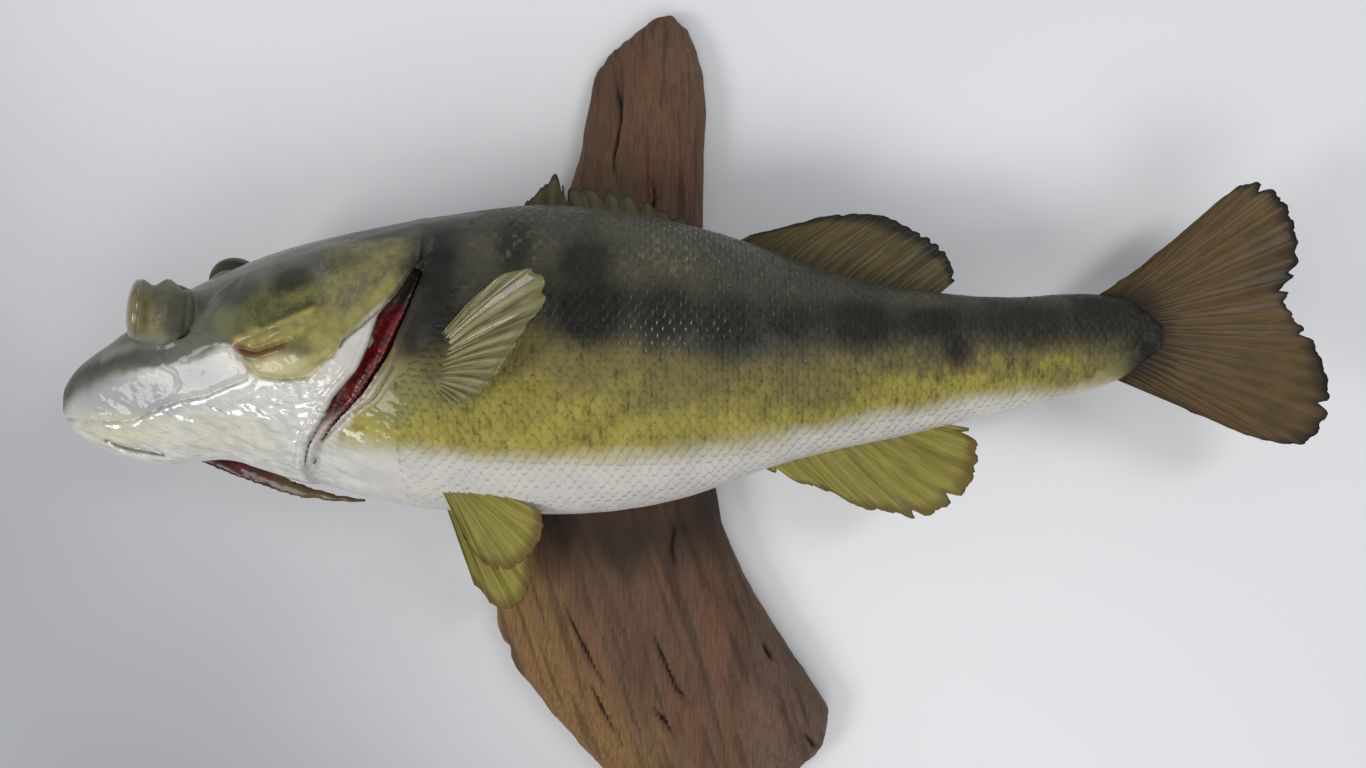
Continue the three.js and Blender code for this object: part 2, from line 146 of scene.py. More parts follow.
def new_finish(name, **constants):
    """A material with one Principled shader. Returns it, the shader and the place on the object."""
    material = bpy.data.materials.new(name)
    material.use_nodes = True
    tree = material.node_tree
    shader = next(n for n in tree.nodes if n.type == "BSDF_PRINCIPLED")
    for key, value in constants.items():
        shader.inputs[key.replace("_", " ")].default_value = value
    place = Wire(tree, None).node("ShaderNodeTexCoord", output=3)
    return material, shader, place


def feed(shader, **sockets):
    """Joins wires to the shader's own sockets."""
    for key, wire in sockets.items():
        wire.tree.links.new(wire.socket, shader.inputs[key.replace("_", " ")])


def bumped(height, depth):
    """A Normal wire that raises the surface by height times depth in metres."""
    return height.node("ShaderNodeBump", {}, {"Height": height, "Distance": depth})


camera = in_scene("camera", bpy.data.cameras.new("camera"))
camera.location = Vector(CAMERA_PLACE) * MM
camera.data.lens = LENS_MM
camera.data.sensor_width = SENSOR_MM
camera.data.clip_start = 0.01
bpy.context.scene.camera = camera
bpy.context.scene.view_settings.view_transform = "Standard"

bpy.ops.mesh.primitive_plane_add(size=TABLE_SIZE)
table = bpy.context.object
table.name = "table"
table_paint, shader, place = new_finish("table_paint", Roughness=0.45)
# The table's colour darkens towards the lower left: a painted soft shadow.
painted_table_shadow = (place.scaled(1, 1, -0.8).part(1) + place.clouds(0.3, 2) * 0.1).between(-0.29, 0.06)
feed(shader, Base_Color=painted_table_shadow.blend((0.3, 0.31, 0.33, 1), (0.82, 0.83, 0.85, 1)))
table.data.materials.append(table_paint)

for name, place, size, aim, watts, tint in (
    ("ceiling", (150, -850, 1150), (1100, 700), (0, 0, 40), 6.2, (1, 0.99, 0.98)),
    ("window", (300, 1700, 420), (1600, 500), (0, 0, 60), 4, (0.95, 0.98, 1)),
    ("lamp_by_the_tail", (500, 250, 1000), (130, 420), (20, 20, 60), 2.0, (1, 1, 1)),
    ("lamp_by_the_head", (-1000, -430, 1000), (420, 420), (-150, 0, 60), 6.8, (1, 0.99, 0.97)),
):
    lamp = bpy.data.lights.new(name, "AREA")
    lamp.shape = "RECTANGLE"
    lamp.size, lamp.size_y = (side * MM for side in size)
    lamp.energy = watts
    lamp.color = tint
    holder = in_scene(name, lamp)
    holder.location = Vector(place) * MM
    holder.rotation_euler = (Vector(aim) - Vector(place)).to_track_quat("-Z", "Y").to_euler()
world = bpy.data.worlds.new("room")
bpy.context.scene.world = world
world.use_nodes = True
for key, value in (("Color", (0.94, 0.97, 1, 1)), ("Strength", 0.36)):
    world.node_tree.nodes["Background"].inputs[key].default_value = value

# --- Skin --------------------------------------------------------------------------------------------
# The whole hide of the fish, tanned, glued over its form and varnished. It is one closed surface made
# from the solids of head, jaw, gill covers, trunk and tail stem, with folds and edges worked into it.
FLESH = ("head", "lower_jaw", "gill_cover_left", "gill_cover_right", "gill_flare_right", "trunk", "tail_stem")
PARTING = 0.35  # half the gap between two solids, closed by swelling them
SCALE_DEPTH = 0.45  # how far the skin lies below the tops of its scales
VOXEL = 1.2
PLAIN_SHARE = 0.46  # how much of the mesh is kept away from the face
MIDDLE_Z = 60  # the level of the fish's own middle plane
FLAP_UNDER = 49  # the flap sprung from the right gill cover lies below this level
CREASE_ENDS = 0.35  # how much of a crease or fold is left at its two ends

COVER_EDGE = [
    (-106, 78), (-103.5, 66), (-102.5, 58.5), (-109.5, 46), (-117, 37), (-120.5, 26), (-125, 17),
    (-135, 6.5), (-141.5, -3.5), (-148.5, -12.5), (-152.5, -22),
]
SHOULDER_EDGE = [
    (-106, 78), (-103.5, 66), (-102, 58), (-105.5, 47), (-109.5, 35), (-116, 21.5), (-125.5, 8.5),
    (-135.5, -1), (-145.5, -11), (-151.8, -22),
]


def rise(value, low, high):
    """0 below low, 1 above high, soft between."""
    t = np.clip((value - low) / (high - low), 0, 1)
    return t * t * (3 - 2 * t)


def hump(value, width):
    """1 at zero, falling softly to 0 at width either side."""
    return 1 - rise(np.abs(value), 0, width)


def line_distance(points, line):
    """Distance in the side view from each point to a polyline, and how far along it, 0 to 1."""
    flat = points[:, :2]
    best = np.full(len(flat), np.inf)
    along = np.zeros(len(flat))
    ends = np.asarray(line, float)
    lengths = np.linalg.norm(np.diff(ends, axis=0), axis=1)
    before = np.concatenate([[0], np.cumsum(lengths)])
    for start, end, length, run in zip(ends, ends[1:], lengths, before):
        t = np.clip(((flat - start) @ (end - start)) / length**2, 0, 1)
        distance = np.linalg.norm(flat - start - t[:, None] * (end - start), axis=1)
        nearer = distance < best
        best[nearer] = distance[nearer]
        along[nearer] = ((run + t * length) / before[-1])[nearer]
    return best, along


def off_line(points, line):
    """Distance in the side view from each point to a polyline."""
    return line_distance(points, line)[0]


def groove(points, line, width, ends=0.0):
    """A groove or fold along a line: 1 on it, 0 at width either side, and shallow at its ends."""
    distance, along = line_distance(points, line)
    return hump(distance, width) * (ends + (1 - ends) * np.sqrt(np.clip(4 * along * (1 - along), 0, 1)))


def inside(points, outline):
    """True where a point of the side view lies within a closed outline."""
    x, y = points[:, 0], points[:, 1]
    found = np.zeros(len(points), bool)
    for (x0, y0), (x1, y1) in zip(outline, outline[1:] + outline[:1]):
        crosses = (y0 > y) != (y1 > y)
        reach = x0 + (y - y0) * (x1 - x0) / (y1 - y0 if y1 != y0 else 1e-9)
        found ^= crosses & (x < reach)
    return found


def signed_depth(points, outline, edge):
    """Distance from the edge line, counted as negative outside the outline."""
    return np.where(inside(points, outline), 1, -1) * off_line(points, edge)


def patch(points, outline, soft):
    """A painted patch: 1 inside the outline, fading to 0 over soft millimetres across its edge."""
    return rise(signed_depth(points, outline, outline + outline[:1]), -soft / 2, soft / 2)


def grain_noise(points, size, seed=0, octaves=3):
    """Smooth noise about -1 to 1 at points in millimetres."""
    scaled = points / np.asarray(size, float) + seed * 17.3
    return np.array([noise.fractal(Vector(p), 1.0, 2.0, octaves) for p in scaled])


def read_points(made, what="co", unit=MM):
    """The places of a piece's points in millimetres."""
    flat = np.zeros(len(made.data.vertices) * 3)
    made.data.vertices.foreach_get(what, flat)
    return flat.reshape(-1, 3) / unit


def read_normals(made):
    return read_points(made, "normal", 1)


def write_points(made, points):
    made.data.vertices.foreach_set("co", (points * MM).ravel())
    made.data.update()


def write_attribute(made, name, values):
    layer = made.data.attributes.new(name, "FLOAT", "POINT")
    layer.data.foreach_set("value", np.asarray(values, np.float32))


def weigh(made, name, weights):
    """A vertex group from a list of weights, in sixteen steps."""
    group = made.vertex_groups.new(name=name)
    steps = np.round(np.clip(weights, 0, 1) * 16).astype(int)
    for step in range(1, 17):
        chosen = np.flatnonzero(steps == step).tolist()
        if chosen:
            group.add(chosen, step / 16, "REPLACE")


def make_active(made):
    bpy.ops.object.select_all(action="DESELECT")
    made.select_set(True)
    bpy.context.view_layer.objects.active = made


def finish_with(made, kind, **settings):
    """Adds a modifier and applies it."""
    make_active(made)
    modifier = made.modifiers.new(kind.lower(), kind)
    for key, value in settings.items():
        setattr(modifier, key, value)
    bpy.ops.object.modifier_apply(modifier=modifier.name)


def edit(made, operator, everywhere=True, **settings):
    """Runs one operator of edit mode on the whole piece, or on the faces that are selected."""
    make_active(made)
    bpy.ops.object.mode_set(mode="EDIT")
    if everywhere:
        bpy.ops.mesh.select_all(action="SELECT")
    operator(**settings)
    bpy.ops.object.mode_set(mode="OBJECT")


def copy_of(*nodes, name):
    """One new object from copies of solids of the frame, with their loose triangles merged."""
    bpy.ops.object.select_all(action="DESELECT")
    for node in nodes:
        made = in_scene(name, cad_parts[node].data.copy())
        made.select_set(True)
    bpy.context.view_layer.objects.active = made
    if len(nodes) > 1:
        bpy.ops.object.join()
    made = bpy.context.object
    made.name = name
    made.data.materials.clear()
    edit(made, bpy.ops.mesh.remove_doubles, threshold=1e-6)
    return made


skin = copy_of(*FLESH, name="skin")
finish_with(skin, "DISPLACE", strength=PARTING * MM, mid_level=0)
finish_with(skin, "REMESH", mode="VOXEL", voxel_size=VOXEL * MM, use_smooth_shade=True)

points = read_points(skin)
x, y, z = points.T
flap = (z < FLAP_UNDER) & (y < -17.5) & (x < -128)
from_edges = np.minimum(off_line(points, COVER_EDGE), off_line(points, SHOULDER_EDGE))
on_trunk = rise(x, -112, -96) * rise(from_edges, 3, 12) * (1 - rise(x, 165, 184))
off_edges = np.maximum(rise(from_edges, 1, 5), rise(-y, 8, 15))
for area, weights, times in (
    ("trunk", on_trunk, 60),
    ("head", (1 - on_trunk) * off_edges * (1 - rise(x, 178, 188)) * (1 - flap), 14),
    ("all_but_flap", 1 - flap, 2),
):
    weigh(skin, area, weights)
    finish_with(skin, "SMOOTH", factor=0.5, iterations=times, vertex_group=area)

# The face side of the head is worked finer than the rest.
points = read_points(skin)
on_face = (points[:, 0] < -104) & (points[:, 2] > MIDDLE_Z + 6) & (read_normals(skin)[:, 2] > 0.1)
weigh(skin, "thin_out", 1 - on_face)
finish_with(skin, "DECIMATE", ratio=PLAIN_SHARE, vertex_group="thin_out")
skin.vertex_groups.clear()
edit(skin, bpy.ops.mesh.select_all, action="DESELECT")
for face in skin.data.polygons:
    x, y, z = face.center / MM
    face.select = x < -106 and z > MIDDLE_Z + 8 and face.normal.z > 0.15
edit(skin, bpy.ops.mesh.subdivide, everywhere=False, number_cuts=1, smoothness=0)

# Creases are cut and folds raised along lines of the side view: (line, height, half width).
MOUTH = [
    (-249, -2), (-236, -2.6), (-226, -3), (-217, -2.6), (-209, 0.5), (-203, 3), (-197, 5.2),
    (-185, 7.2), (-176, 10.8), (-168, 13.7),
]
LIP_CREASE = [(-201, 18), (-196.4, 15.5), (-195.4, 11), (-198.4, 6.5)]
JAW_CREASE = [(-230, -10.6), (-225, -12.8), (-219, -14.5), (-208, -16.2)]
MAXILLA = [(-198, 16.5), (-190, 21), (-182, 24.6), (-174, 25.2), (-172, 21), (-169, 14)]
BROW_RIDGE = [(-175, 49.6), (-179, 45), (-184, 38)]
CHEEK_FOLD = [(-171, 28), (-165, 29.5), (-158.5, 32), (-147.5, 37), (-140, 40)]
CHEEK_SLIT = [(-170.8, 24.8), (-164, 23.2), (-157, 25.5), (-150, 27.5)]
CHEEK_PAD = [(-157, 24), (-156, 33), (-147, 38), (-137, 36), (-134, 27), (-140, 18.5), (-151, 17)]
CHEEK_HEM = [(-168.5, 21), (-163.7, 14.6), (-154.5, 13.2), (-144.2, 14.4), (-135.6, 22.2)]
OPERCLE_HEM = [(-103.5, 57), (-111, 45.5), (-116, 39.5), (-123, 33), (-130.3, 27.5), (-131.5, 25)]
PREOPERCLE = [(-141, 63), (-138.5, 52), (-138, 44), (-140.5, 39.5)]
LOWER_LID = [(-218, 31), (-211.5, 27.6), (-206, 26.6), (-199, 27.4), (-191, 31.6)]
NOSE_FOLD = [(-190.5, 43.5), (-188, 37)]
RAY_FOLD = [(-158, 9), (-148, 5.5), (-138, 7), (-130, 14.5)]
SHOULDER_HEM = [(-104, 46), (-110.4, 32), (-115.8, 17.4), (-124, 5.6), (-134.4, -0.9), (-147, -11)]


def moved(line, dx, dy=0.0):
    return [(x + dx, y + dy) for x, y in line]


FOLDS = [
    (MOUTH, -0.6, 1.5), (moved(MOUTH, 0.4, 2.8), 0.25, 3.0), (moved(MOUTH, 0, -2.8), 0.25, 2.6),
    (LIP_CREASE, -0.35, 1.5), (JAW_CREASE, -1.5, 1.5), (moved(JAW_CREASE, 0, -2.6), 0.7, 2.4),
    (MAXILLA, -0.15, 2.2), (BROW_RIDGE, 0.9, 2.4), (moved(BROW_RIDGE, 2.4, 1.0), -0.7, 2.0),
    (CHEEK_FOLD, 1.0, 2.6), (moved(CHEEK_FOLD, 0.6, -3.4), -0.6, 2.0), (CHEEK_SLIT, -1.8, 1.4),
    (moved(CHEEK_SLIT, 0, -2.6), 0.9, 2.2), (CHEEK_HEM, -0.6, 1.6), (OPERCLE_HEM, -0.9, 1.1),
    (moved(OPERCLE_HEM, -1.6, 1.0), 0.45, 1.6), (PREOPERCLE, -0.6, 2.4), (LOWER_LID, -1.1, 1.3),
    (moved(LOWER_LID, 0.2, 1.9), 0.7, 1.7), (NOSE_FOLD, 0.8, 1.5), (SHOULDER_HEM, 0.4, 1.2),
    (moved(SHOULDER_HEM, 4.2, 0.4), 0.3, 1.4), (moved(SHOULDER_HEM, 2, 0.2), -0.25, 1.2),
]
FOLDS += [(moved(COVER_EDGE[5:], -back, 0), 0.5, 1.1) for back in (2.2, 4.8)]
FOLDS += [(moved(RAY_FOLD, -1.3 * n + 0.7 * (-1) ** n, -3.4 * n), 0.3, 1.6) for n in range(7)]
FOLDS += [(moved(RAY_FOLD, 3.4 - 1.2 * n, 3.4 - 1.3 * n), 0.3, 0.7) for n in range(3)]

points, normals = read_points(skin), read_normals(skin)
sideways = rise(np.abs(normals[:, 2]), 0.15, 0.5)
near_head = rise(-points[:, 0], 98, 110)
under = near_head * rise(-points[:, 1], -14, 2) * sideways
wrinkled = points @ np.array([[0.88, 0.47, 0], [-0.47, 0.88, 0], [0, 0, 1]])
lift = 0.9 * patch(points, CHEEK_PAD, 5) * sideways
for line, height, width in FOLDS:
    lift += height * groove(points, line, width, CREASE_ENDS) * sideways
for where, height, size, seed, octaves in (
    (near_head, 0.1, (3, 3, 3), 1, 3), (rise(points[:, 0], 168, 176), 0.6, (2.6, 5, 2.6), 23, 2),
    (1 - near_head, 0.25, (22, 9, 22), 2, 2),
):
    lift += where * height * grain_noise(points, size, seed, octaves)
lift += under * 0.5 * grain_noise(wrinkled, (12, 4.5, 12), 21, 2)
lift += under * 0.16 * grain_noise(wrinkled, (5, 2.2, 5), 22, 2)
depth = SCALE_DEPTH * (1 - near_head) + 0.12 * near_head
write_points(skin, points + normals * (lift - PARTING - depth)[:, None])
finish_with(skin, "SMOOTH", factor=0.3, iterations=1)

# The paint, as airbrushed coats over the whole fish, with painted light among them: a sheen along the snout,
# a sheen on the wet chin and shade along the creases. Each coat is a mask from the side view in mm.
DARK_EDGE = [(-110, 27), (-91, 25), (-56, 29), (-36, 26), (-18, 23.5), (1, 20.5), (31, 20), (62, 22.5),
             (90, 23.5), (118, 23), (147, 24), (170, 28), (195, 33)]
WHITE_EDGE = [(-160, -10), (-141, -10), (-120, -11.8), (-97, -13.3), (-66, -15), (-36, -15), (-18, -14.5),
              (1, -13), (20, -10.5), (39, -7.5), (59, -3.5), (79, 1.2), (111, 5.5), (144, 9.5), (164, 14),
              (192, 18)]
JAW_TOP = [
    (-252, 1), (-247.5, 5), (-240.5, 10), (-231, 13.5), (-220, 17.5), (-207.5, 20.2), (-198, 20.8),
    (-190, 22.5), (-183, 25), (-176, 26), (-170.5, 25.5), (-168.5, 20), (-163.7, 14.3), (-154.5, 12.6),
    (-144.2, 14), (-134.5, 21.5), (-128, 29), (-121, 36), (-114.5, 42.5),
]
WHITE_FACE = JAW_TOP + [(-90, 42.5), (-90, -60), (-275, -60), (-275, 1)]
OPERCLE = [(-141, 63), (-128, 67.5), (-116, 70), (-104, 62), (-103, 56), (-112, 44.5), (-117, 38),
           (-130, 30), (-138, 36), (-140, 50)]
CHEEK = [(-176, 30), (-170, 42), (-156, 50), (-142, 52), (-136, 40), (-128, 34), (-135, 22), (-144, 14.4),
         (-156, 13), (-165, 15)]
# Airbrushed dabs: centre, half length, half height, strength.
DABS = {
    "black": [
        (-98, 46, 12, 30, 1.0), (-106, 32, 7, 13, 0.95), (-69, 64, 7, 12, 0.75), (-42, 57, 11, 15, 0.85),
        (-40, 38, 16, 13, 1.0), (-12, 38, 14, 12, 0.85), (12, 34, 15, 14, 0.9), (36, 34, 12, 10, 0.9),
        (62, 34, 16, 10, 0.95), (101, 26, 7, 9, 0.95), (92, 36, 18, 8, 0.95), (130, 37, 24, 11, 0.85),
        (160, 38, 20, 11, 0.9), (184, 27, 20, 25, 1.0), (-151, 51, 8, 6, 0.75), (-124, 69, 16, 4, 0.7),
        (-172, 46, 8, 6, 0.45), (-136, 58, 12, 5, 0.35),
    ],
    "green": [(-115, 5, 8, 10, 0.8), (-106, 12, 10, 8, 0.85), (-96, 10, 10, 8, 0.6), (-176, 34, 5, 6, 0.35),
              (166, 19, 8, 6, 0.7)],
    "yellow": [(-138, 28.5, 6, 7, 0.85)],
    "specks": [(-64, 64, 14, 13, 0.9), (-84, 60, 12, 13, 0.8), (-14, 60, 18, 11, 1.0), (-92, 66, 9, 9, 0.7)],
    "cream": [(-155, 18.3, 13, 4.5, 0.85), (-146, 16, 10, 3.5, 0.6), (-180, -8, 22, 8, 0.25),
              (-222, -6, 22, 8, 0.4)],
    "lilac": [(-218, 7, 24, 10, 0.95), (-188, 14, 16, 8, 0.7)],
}
# Strokes: line, half width, strength. Most are airbrushed paint; the pale stroke along the top of the snout
# is a painted sheen.
STROKES = {
    "black": [
        ([(-54, 44), (-12, 41), (30, 37), (80, 34), (130, 37), (176, 38)], 10, 0.72),
        ([(-252, 4), (-248, 11), (-242, 16.5)], 6, 0.6),
        ([(-242, 14), (-231, 18), (-220, 20.6), (-207, 22), (-199, 24)], 4, 0.5),
        ([(-160.7, 33.2), (-152, 36.2), (-142.2, 41.1)], 1.6, 0.6),
        ([(-166, 23.2), (-160, 22.6), (-153, 25.4)], 0.8, 0.6),
    ],
    "yellow": [
        ([(-171, 27.6), (-164, 30.5), (-155, 33.7), (-147.5, 36.9), (-142, 38.5)], 2.2, 1.0),
        ([(-164, 27), (-153, 28.9), (-144.2, 32.6), (-138.7, 35.8), (-133.8, 34.1), (-132.6, 29.3),
          (-135.7, 24), (-142.4, 20)], 4.2, 0.9),
        ([(-167, 18), (-162, 15), (-156, 13.2), (-148.4, 13.4), (-139.2, 16.6), (-133.4, 22.9)], 2.2, 0.6),
        ([(-130, 32), (-120.3, 41), (-112, 48.5)], 4.5, 0.7), ([(-150, 44), (-143, 47)], 4, 0.3),
        ([(-138, 45), (-124, 56), (-112, 62)], 5, 0.3),
    ],
    # A pale stroke along the top of the snout under the eye: a painted sheen.
    "snout_sheen": [([(-228, 21.5), (-222, 24.3), (-212, 27), (-203, 27.6), (-194, 30)], 2.6, 0.6)],
    "rust": [([(-171.5, 25.5), (-168, 23), (-162, 22), (-157.5, 24), (-153, 25.7)], 2.2, 1.0),
             ([(-170, 21), (-167, 17)], 2.5, 0.6)],
}
# Dark lines along the creases and hems, each line, strength, half width: the dark of their joints and painted
# shade in them.
SEAM_SHADES = (
    (LIP_CREASE, 0.12, 0.8), (JAW_CREASE, 0.9, 1.2), (OPERCLE_HEM, 0.9, 0.7), (LOWER_LID, 0.3, 0.9),
    (moved(COVER_EDGE[4:], -3.4, 0), 0.15, 0.6), (moved(SHOULDER_HEM, 2, 0.2), 0.5, 1.1), (MOUTH, 0.14, 1.1),
)


def level_of(edge, x):
    xs, ys = zip(*edge)
    return np.interp(x, xs, ys)


def line_past(points):
    """How far behind the gill cover's edge a point lies, in the side view."""
    xs, ys = np.array(COVER_EDGE).T
    return points[:, 0] - np.interp(-points[:, 1], -ys, xs)


def coats(points):
    """The strength of each coat of paint at points of the hide, in the order they go on."""
    x, y, z = points.T
    broad = grain_noise(points, (26, 11, 26), 3, 3)
    streaks = grain_noise(points, (3.2, 8.5, 6), 4, 2)
    mottle = grain_noise(points, (5, 5, 5), 5, 2)
    near_side = rise(z, 58, 64)
    past = line_past(points)
    coat = {name: np.zeros(len(points)) for name in (*DABS, *STROKES, "seam_shade")}
    for name, dabs in DABS.items():
        for cx, cy, long, high, strength in dabs:
            away = np.hypot((x - cx) / long, (y - cy) / high) + 0.3 * broad + 0.14 * streaks
            coat[name] = np.maximum(coat[name], strength * (1 - rise(away, 0.4, 1.4)))
    for name, strokes in STROKES.items():
        for line, width, strength in strokes:
            stroke = strength * hump(off_line(points, line) + 0.25 * width * mottle, 1.3 * width)
            coat[name] = np.maximum(coat[name], stroke * (near_side if name != "black" else 1))
    for line, strength, width in SEAM_SHADES:
        coat["seam_shade"] = np.maximum(coat["seam_shade"], strength * hump(off_line(points, line), width) * near_side)
    head = rise(-(x + 0.32 * (y - 40)), 104, 116) * (1 - rise(past, 0, 5))
    over_dark = y - level_of(DARK_EDGE, x) + 7 * broad + 5 * streaks
    over_white = y - level_of(WHITE_EDGE, x) + 2.5 * broad + 0.7 * streaks
    soft = 2.4 + 4.6 * rise(-x, 206, 228) + 3.6 * hump(x + 187, 16)
    on_face = signed_depth(points, WHITE_FACE, JAW_TOP) + 0.8 * mottle - 2.6 * rise(-x, 172, 185)
    hems = (0.5 * hump(off_line(points, SHOULDER_HEM), 2.2),
            0.3 * hump(off_line(points, moved(SHOULDER_HEM, 4.6, 0.4)), 1.5))
    coat["white"] = np.maximum.reduce([
        rise(on_face, -soft / 2, soft / 2) * rise(-past, -1, 2.5),
        (1 - rise(over_white, -6, 5)) * rise(x, -160, -150) * (1 - rise(x, 160, 172)),
        np.maximum(*hems) * rise(-y, -22, -6) * (x > -148),
        0.85 * rise(past, -1, 0.5) * (1 - rise(past + 1.5 * streaks, 6, 12)) * rise(-y, -22, 0),
    ])
    on_chin = rise(-x, 112, 150) * near_side
    coat["wet"] = on_chin * np.maximum(0.1, rise(level_of(MOUTH, x) - y, -4, 2) * rise(-y, -18, -8))
    coat["back"] = rise(over_dark, -7, 9) * (1 - head)
    coat["dusk"] = rise((over_dark + 2 * broad) / (1 - 0.6 * rise(x, 30, 90)), -30, -8)
    coat["crown"] = head
    coat["olive"] = patch(points, CHEEK, 10) * near_side
    coat["brown"] = patch(points, OPERCLE, 9) * np.clip(0.85 + 0.5 * mottle, 0, 1) * near_side
    coat["flare"] = rise(-y, 17.5, 18.5) * (z < FLAP_UNDER) * rise(-x, 126, 130)
    return coat


# The finish: an airbrushed ground, mottled and flecked, under a coat of clear varnish, with a painted sheen
# on the wet chin and on the snout and painted shade along the creases.
def fish_colour(place):
    """The painted colour from the coats and the place, shared by the hide and its scales."""
    fine = place.clouds(0.0034)
    mixed = fine.between(0.3, 0.7)
    freckle = place.clouds(0.0035, 2, 0.6).between(0.52, 0.7)
    broad = place.clouds(0.02)
    broadly = broad.between(0.3, 0.7)
    flecks = place.clouds(0.0045, 2).between(0.6, 0.74)
    speckles = place.scaled(1, 1.8, -0.5).clouds(0.0016, 2).between(0.52, 0.62)
    # Where the chin is wet it is painted whiter: a painted sheen.
    wet_sheen = place.clouds(0.006).between(0.35, 0.65).blend((196, 196, 190), (214, 212, 203))
    pearl = painted(
        place.clouds(0.012).between(0.3, 0.7).blend((192, 189, 185), (202, 198, 190)),
        (place["wet"], wet_sheen), (place["lilac"], (160, 160, 163)),
    )
    sprung = (place.part(0) + place.clouds(0.012, 2) * 0.02).between(-0.178, -0.160)
    wet = place.clouds(0.004).between(0.3, 0.7).blend((88, 12, 16), (50, 10, 14))
    return painted(
        broad.between(0.35, 0.65).blend((160, 150, 68), (146, 136, 61)),
        (place["dusk"], (118, 108, 64)),
        (freckle * 0.35, (92, 82, 42)),
        (place["back"], painted(broadly.blend((80, 77, 62), (66, 66, 57)), (flecks * 0.5, (104, 94, 62)))),
        (place["crown"], painted(
            broadly.blend((108, 111, 100), (90, 93, 80)), (freckle * 0.25, (108, 108, 84)))),
        (place["olive"], mixed.blend((102, 100, 60), (84, 84, 52))),
        (place["brown"], painted(
            mixed.blend((124, 118, 80), (100, 96, 66)), (speckles * 0.4, (152, 142, 92)))),
        (place["green"], (120, 120, 74)),
        (place["yellow"], mixed.blend((160, 150, 84), (138, 130, 70))),
        (place["black"], fine.between(0.2, 0.8).blend((26, 25, 22), (38, 36, 31))),
        # the painted sheen along the top of the snout
        (place["snout_sheen"], (146, 150, 142)),
        (place["white"], pearl),
        (place["cream"], (194, 186, 140)),
        (place["rust"] * 0.8, (118, 72, 34)),
        # the dark creases and hems, partly painted shade
        (place["seam_shade"], (70, 56, 46)),
        (place["flare"], sprung.blend(wet, (88, 70, 40))),
    )


for name, strength in coats(read_points(skin)).items():
    write_attribute(skin, name, strength)
hide, shader, place = new_finish("painted_hide", Coat_Roughness=0.1, Specular_IOR_Level=0.2)
wet = place["wet"]
wrinkles = place.scaled(1.8, 0.8, -0.45).clouds(0.0045)
creases = place.clouds(0.0012, 4, 0.7) * 0.2 + wrinkles * (wet * 3 + 0.3)
gloss = place.clouds(0.01)
bare = place.part(0).between(0.168, 0.174)  # where the scales end, at the tail's root
tail_root = bare * place.clouds(0.003, 3, 0.6).between(0.5, 0.62)
feed(
    shader, Base_Color=fish_colour(place), Roughness=gloss * 0.25 + 0.3,
    Coat_Weight=gloss * 0.3 + wet * 0.9 + tail_root + 0.1 * (1 - bare), Normal=bumped(creases, 0.0009),
)
skin.data.materials.append(hide)
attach(skin, "root")
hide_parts(*FLESH)

# --- Scales ------------------------------------------------------------------------------------------
# Real scales stay in the tanned skin: thin round-edged plates in slanting rows, each lapping the next.
# They are laid over the hide on its own unwrapped surface, near side and far side, smaller to the tail.
PITCH = 4.1  # from one scale to the next along a row, at mid body
CHEEK_PITCH = 2.5
ROW_SHARE = 0.7  # from one row to the next, half a scale's height, as a share of the pitch
LIFT_SHARE = 0.1  # the free rear edge above the hide
STATION_STEP, ARC_STEP = 2.0, 1.5  # the grid of the unwrapped hide, along the body and round it
ARC_REACH = 95
BODY_AXIS = [(-180, 27), (-160, 26), (-110, 22), (-60, 21), (0, 20), (60, 20), (120, 26), (192, 31)]


def unwrap(side, first, last):
    """The hide of one side on a grid: stations along the body by arc length up and down from its axis."""
    tree = BVHTree.FromObject(skin, bpy.context.evaluated_depsgraph_get())
    stations = np.arange(first - 4, last + 7, STATION_STEP)
    arcs = np.arange(-ARC_REACH, ARC_REACH, ARC_STEP)
    angles = np.radians(np.arange(90, -91, -3))
    surface = np.zeros((len(stations), len(arcs), 3))
    reach = np.zeros((len(stations), 2))
    for row, x in enumerate(stations):
        centre = Vector((x, level_of(BODY_AXIS, x), MIDDLE_Z)) * MM
        hits = [tree.ray_cast(centre, Vector((0, math.sin(a), side * math.cos(a))))[0] for a in angles]
        ring = np.array([(hit or centre) / MM for hit in hits])
        run = np.concatenate([[0], np.cumsum(np.linalg.norm(np.diff(ring, axis=0), axis=1))])
        run -= run[len(angles) // 2]
        reach[row] = run[0], run[-1]
        for axis in range(3):
            surface[row, :, axis] = np.interp(arcs, run, ring[:, axis])
    return stations, surface, reach


def sample(grid, start, x, a):
    """Values of a grid that starts at a station, at places x along the body and arc lengths a."""
    u = np.clip((x - start) / STATION_STEP, 0, grid.shape[0] - 1.001)
    v = np.clip((a + ARC_REACH) / ARC_STEP, 0, grid.shape[1] - 1.001)
    i, j = u.astype(int), v.astype(int)
    fu, fv = (u - i)[..., None], (v - j)[..., None]
    top = grid[i, j] * (1 - fv) + grid[i, j + 1] * fv
    low = grid[i + 1, j] * (1 - fv) + grid[i + 1, j + 1] * fv
    return top * (1 - fu) + low * fu


def unit(vectors):
    return vectors / (np.linalg.norm(vectors, axis=-1, keepdims=True) + 1e-9)


def put_mesh(name, points, faces):
    """A mesh object from points in millimetres."""
    mesh = bpy.data.meshes.new(name)
    mesh.from_pydata((np.asarray(points) * MM).tolist(), [], faces)
    mesh.validate()
    mesh.polygons.foreach_set("use_smooth", [True] * len(mesh.polygons))
    return in_scene(name, mesh)


def write_uv(made, name, flat):
    """A UV map from one place for each point of the piece."""
    corners = np.zeros(len(made.data.loops), int)
    made.data.loops.foreach_get("vertex_index", corners)
    layer = made.data.uv_layers.new(name=name)
    layer.data.foreach_set("uv", flat[corners].astype(np.float32).ravel())


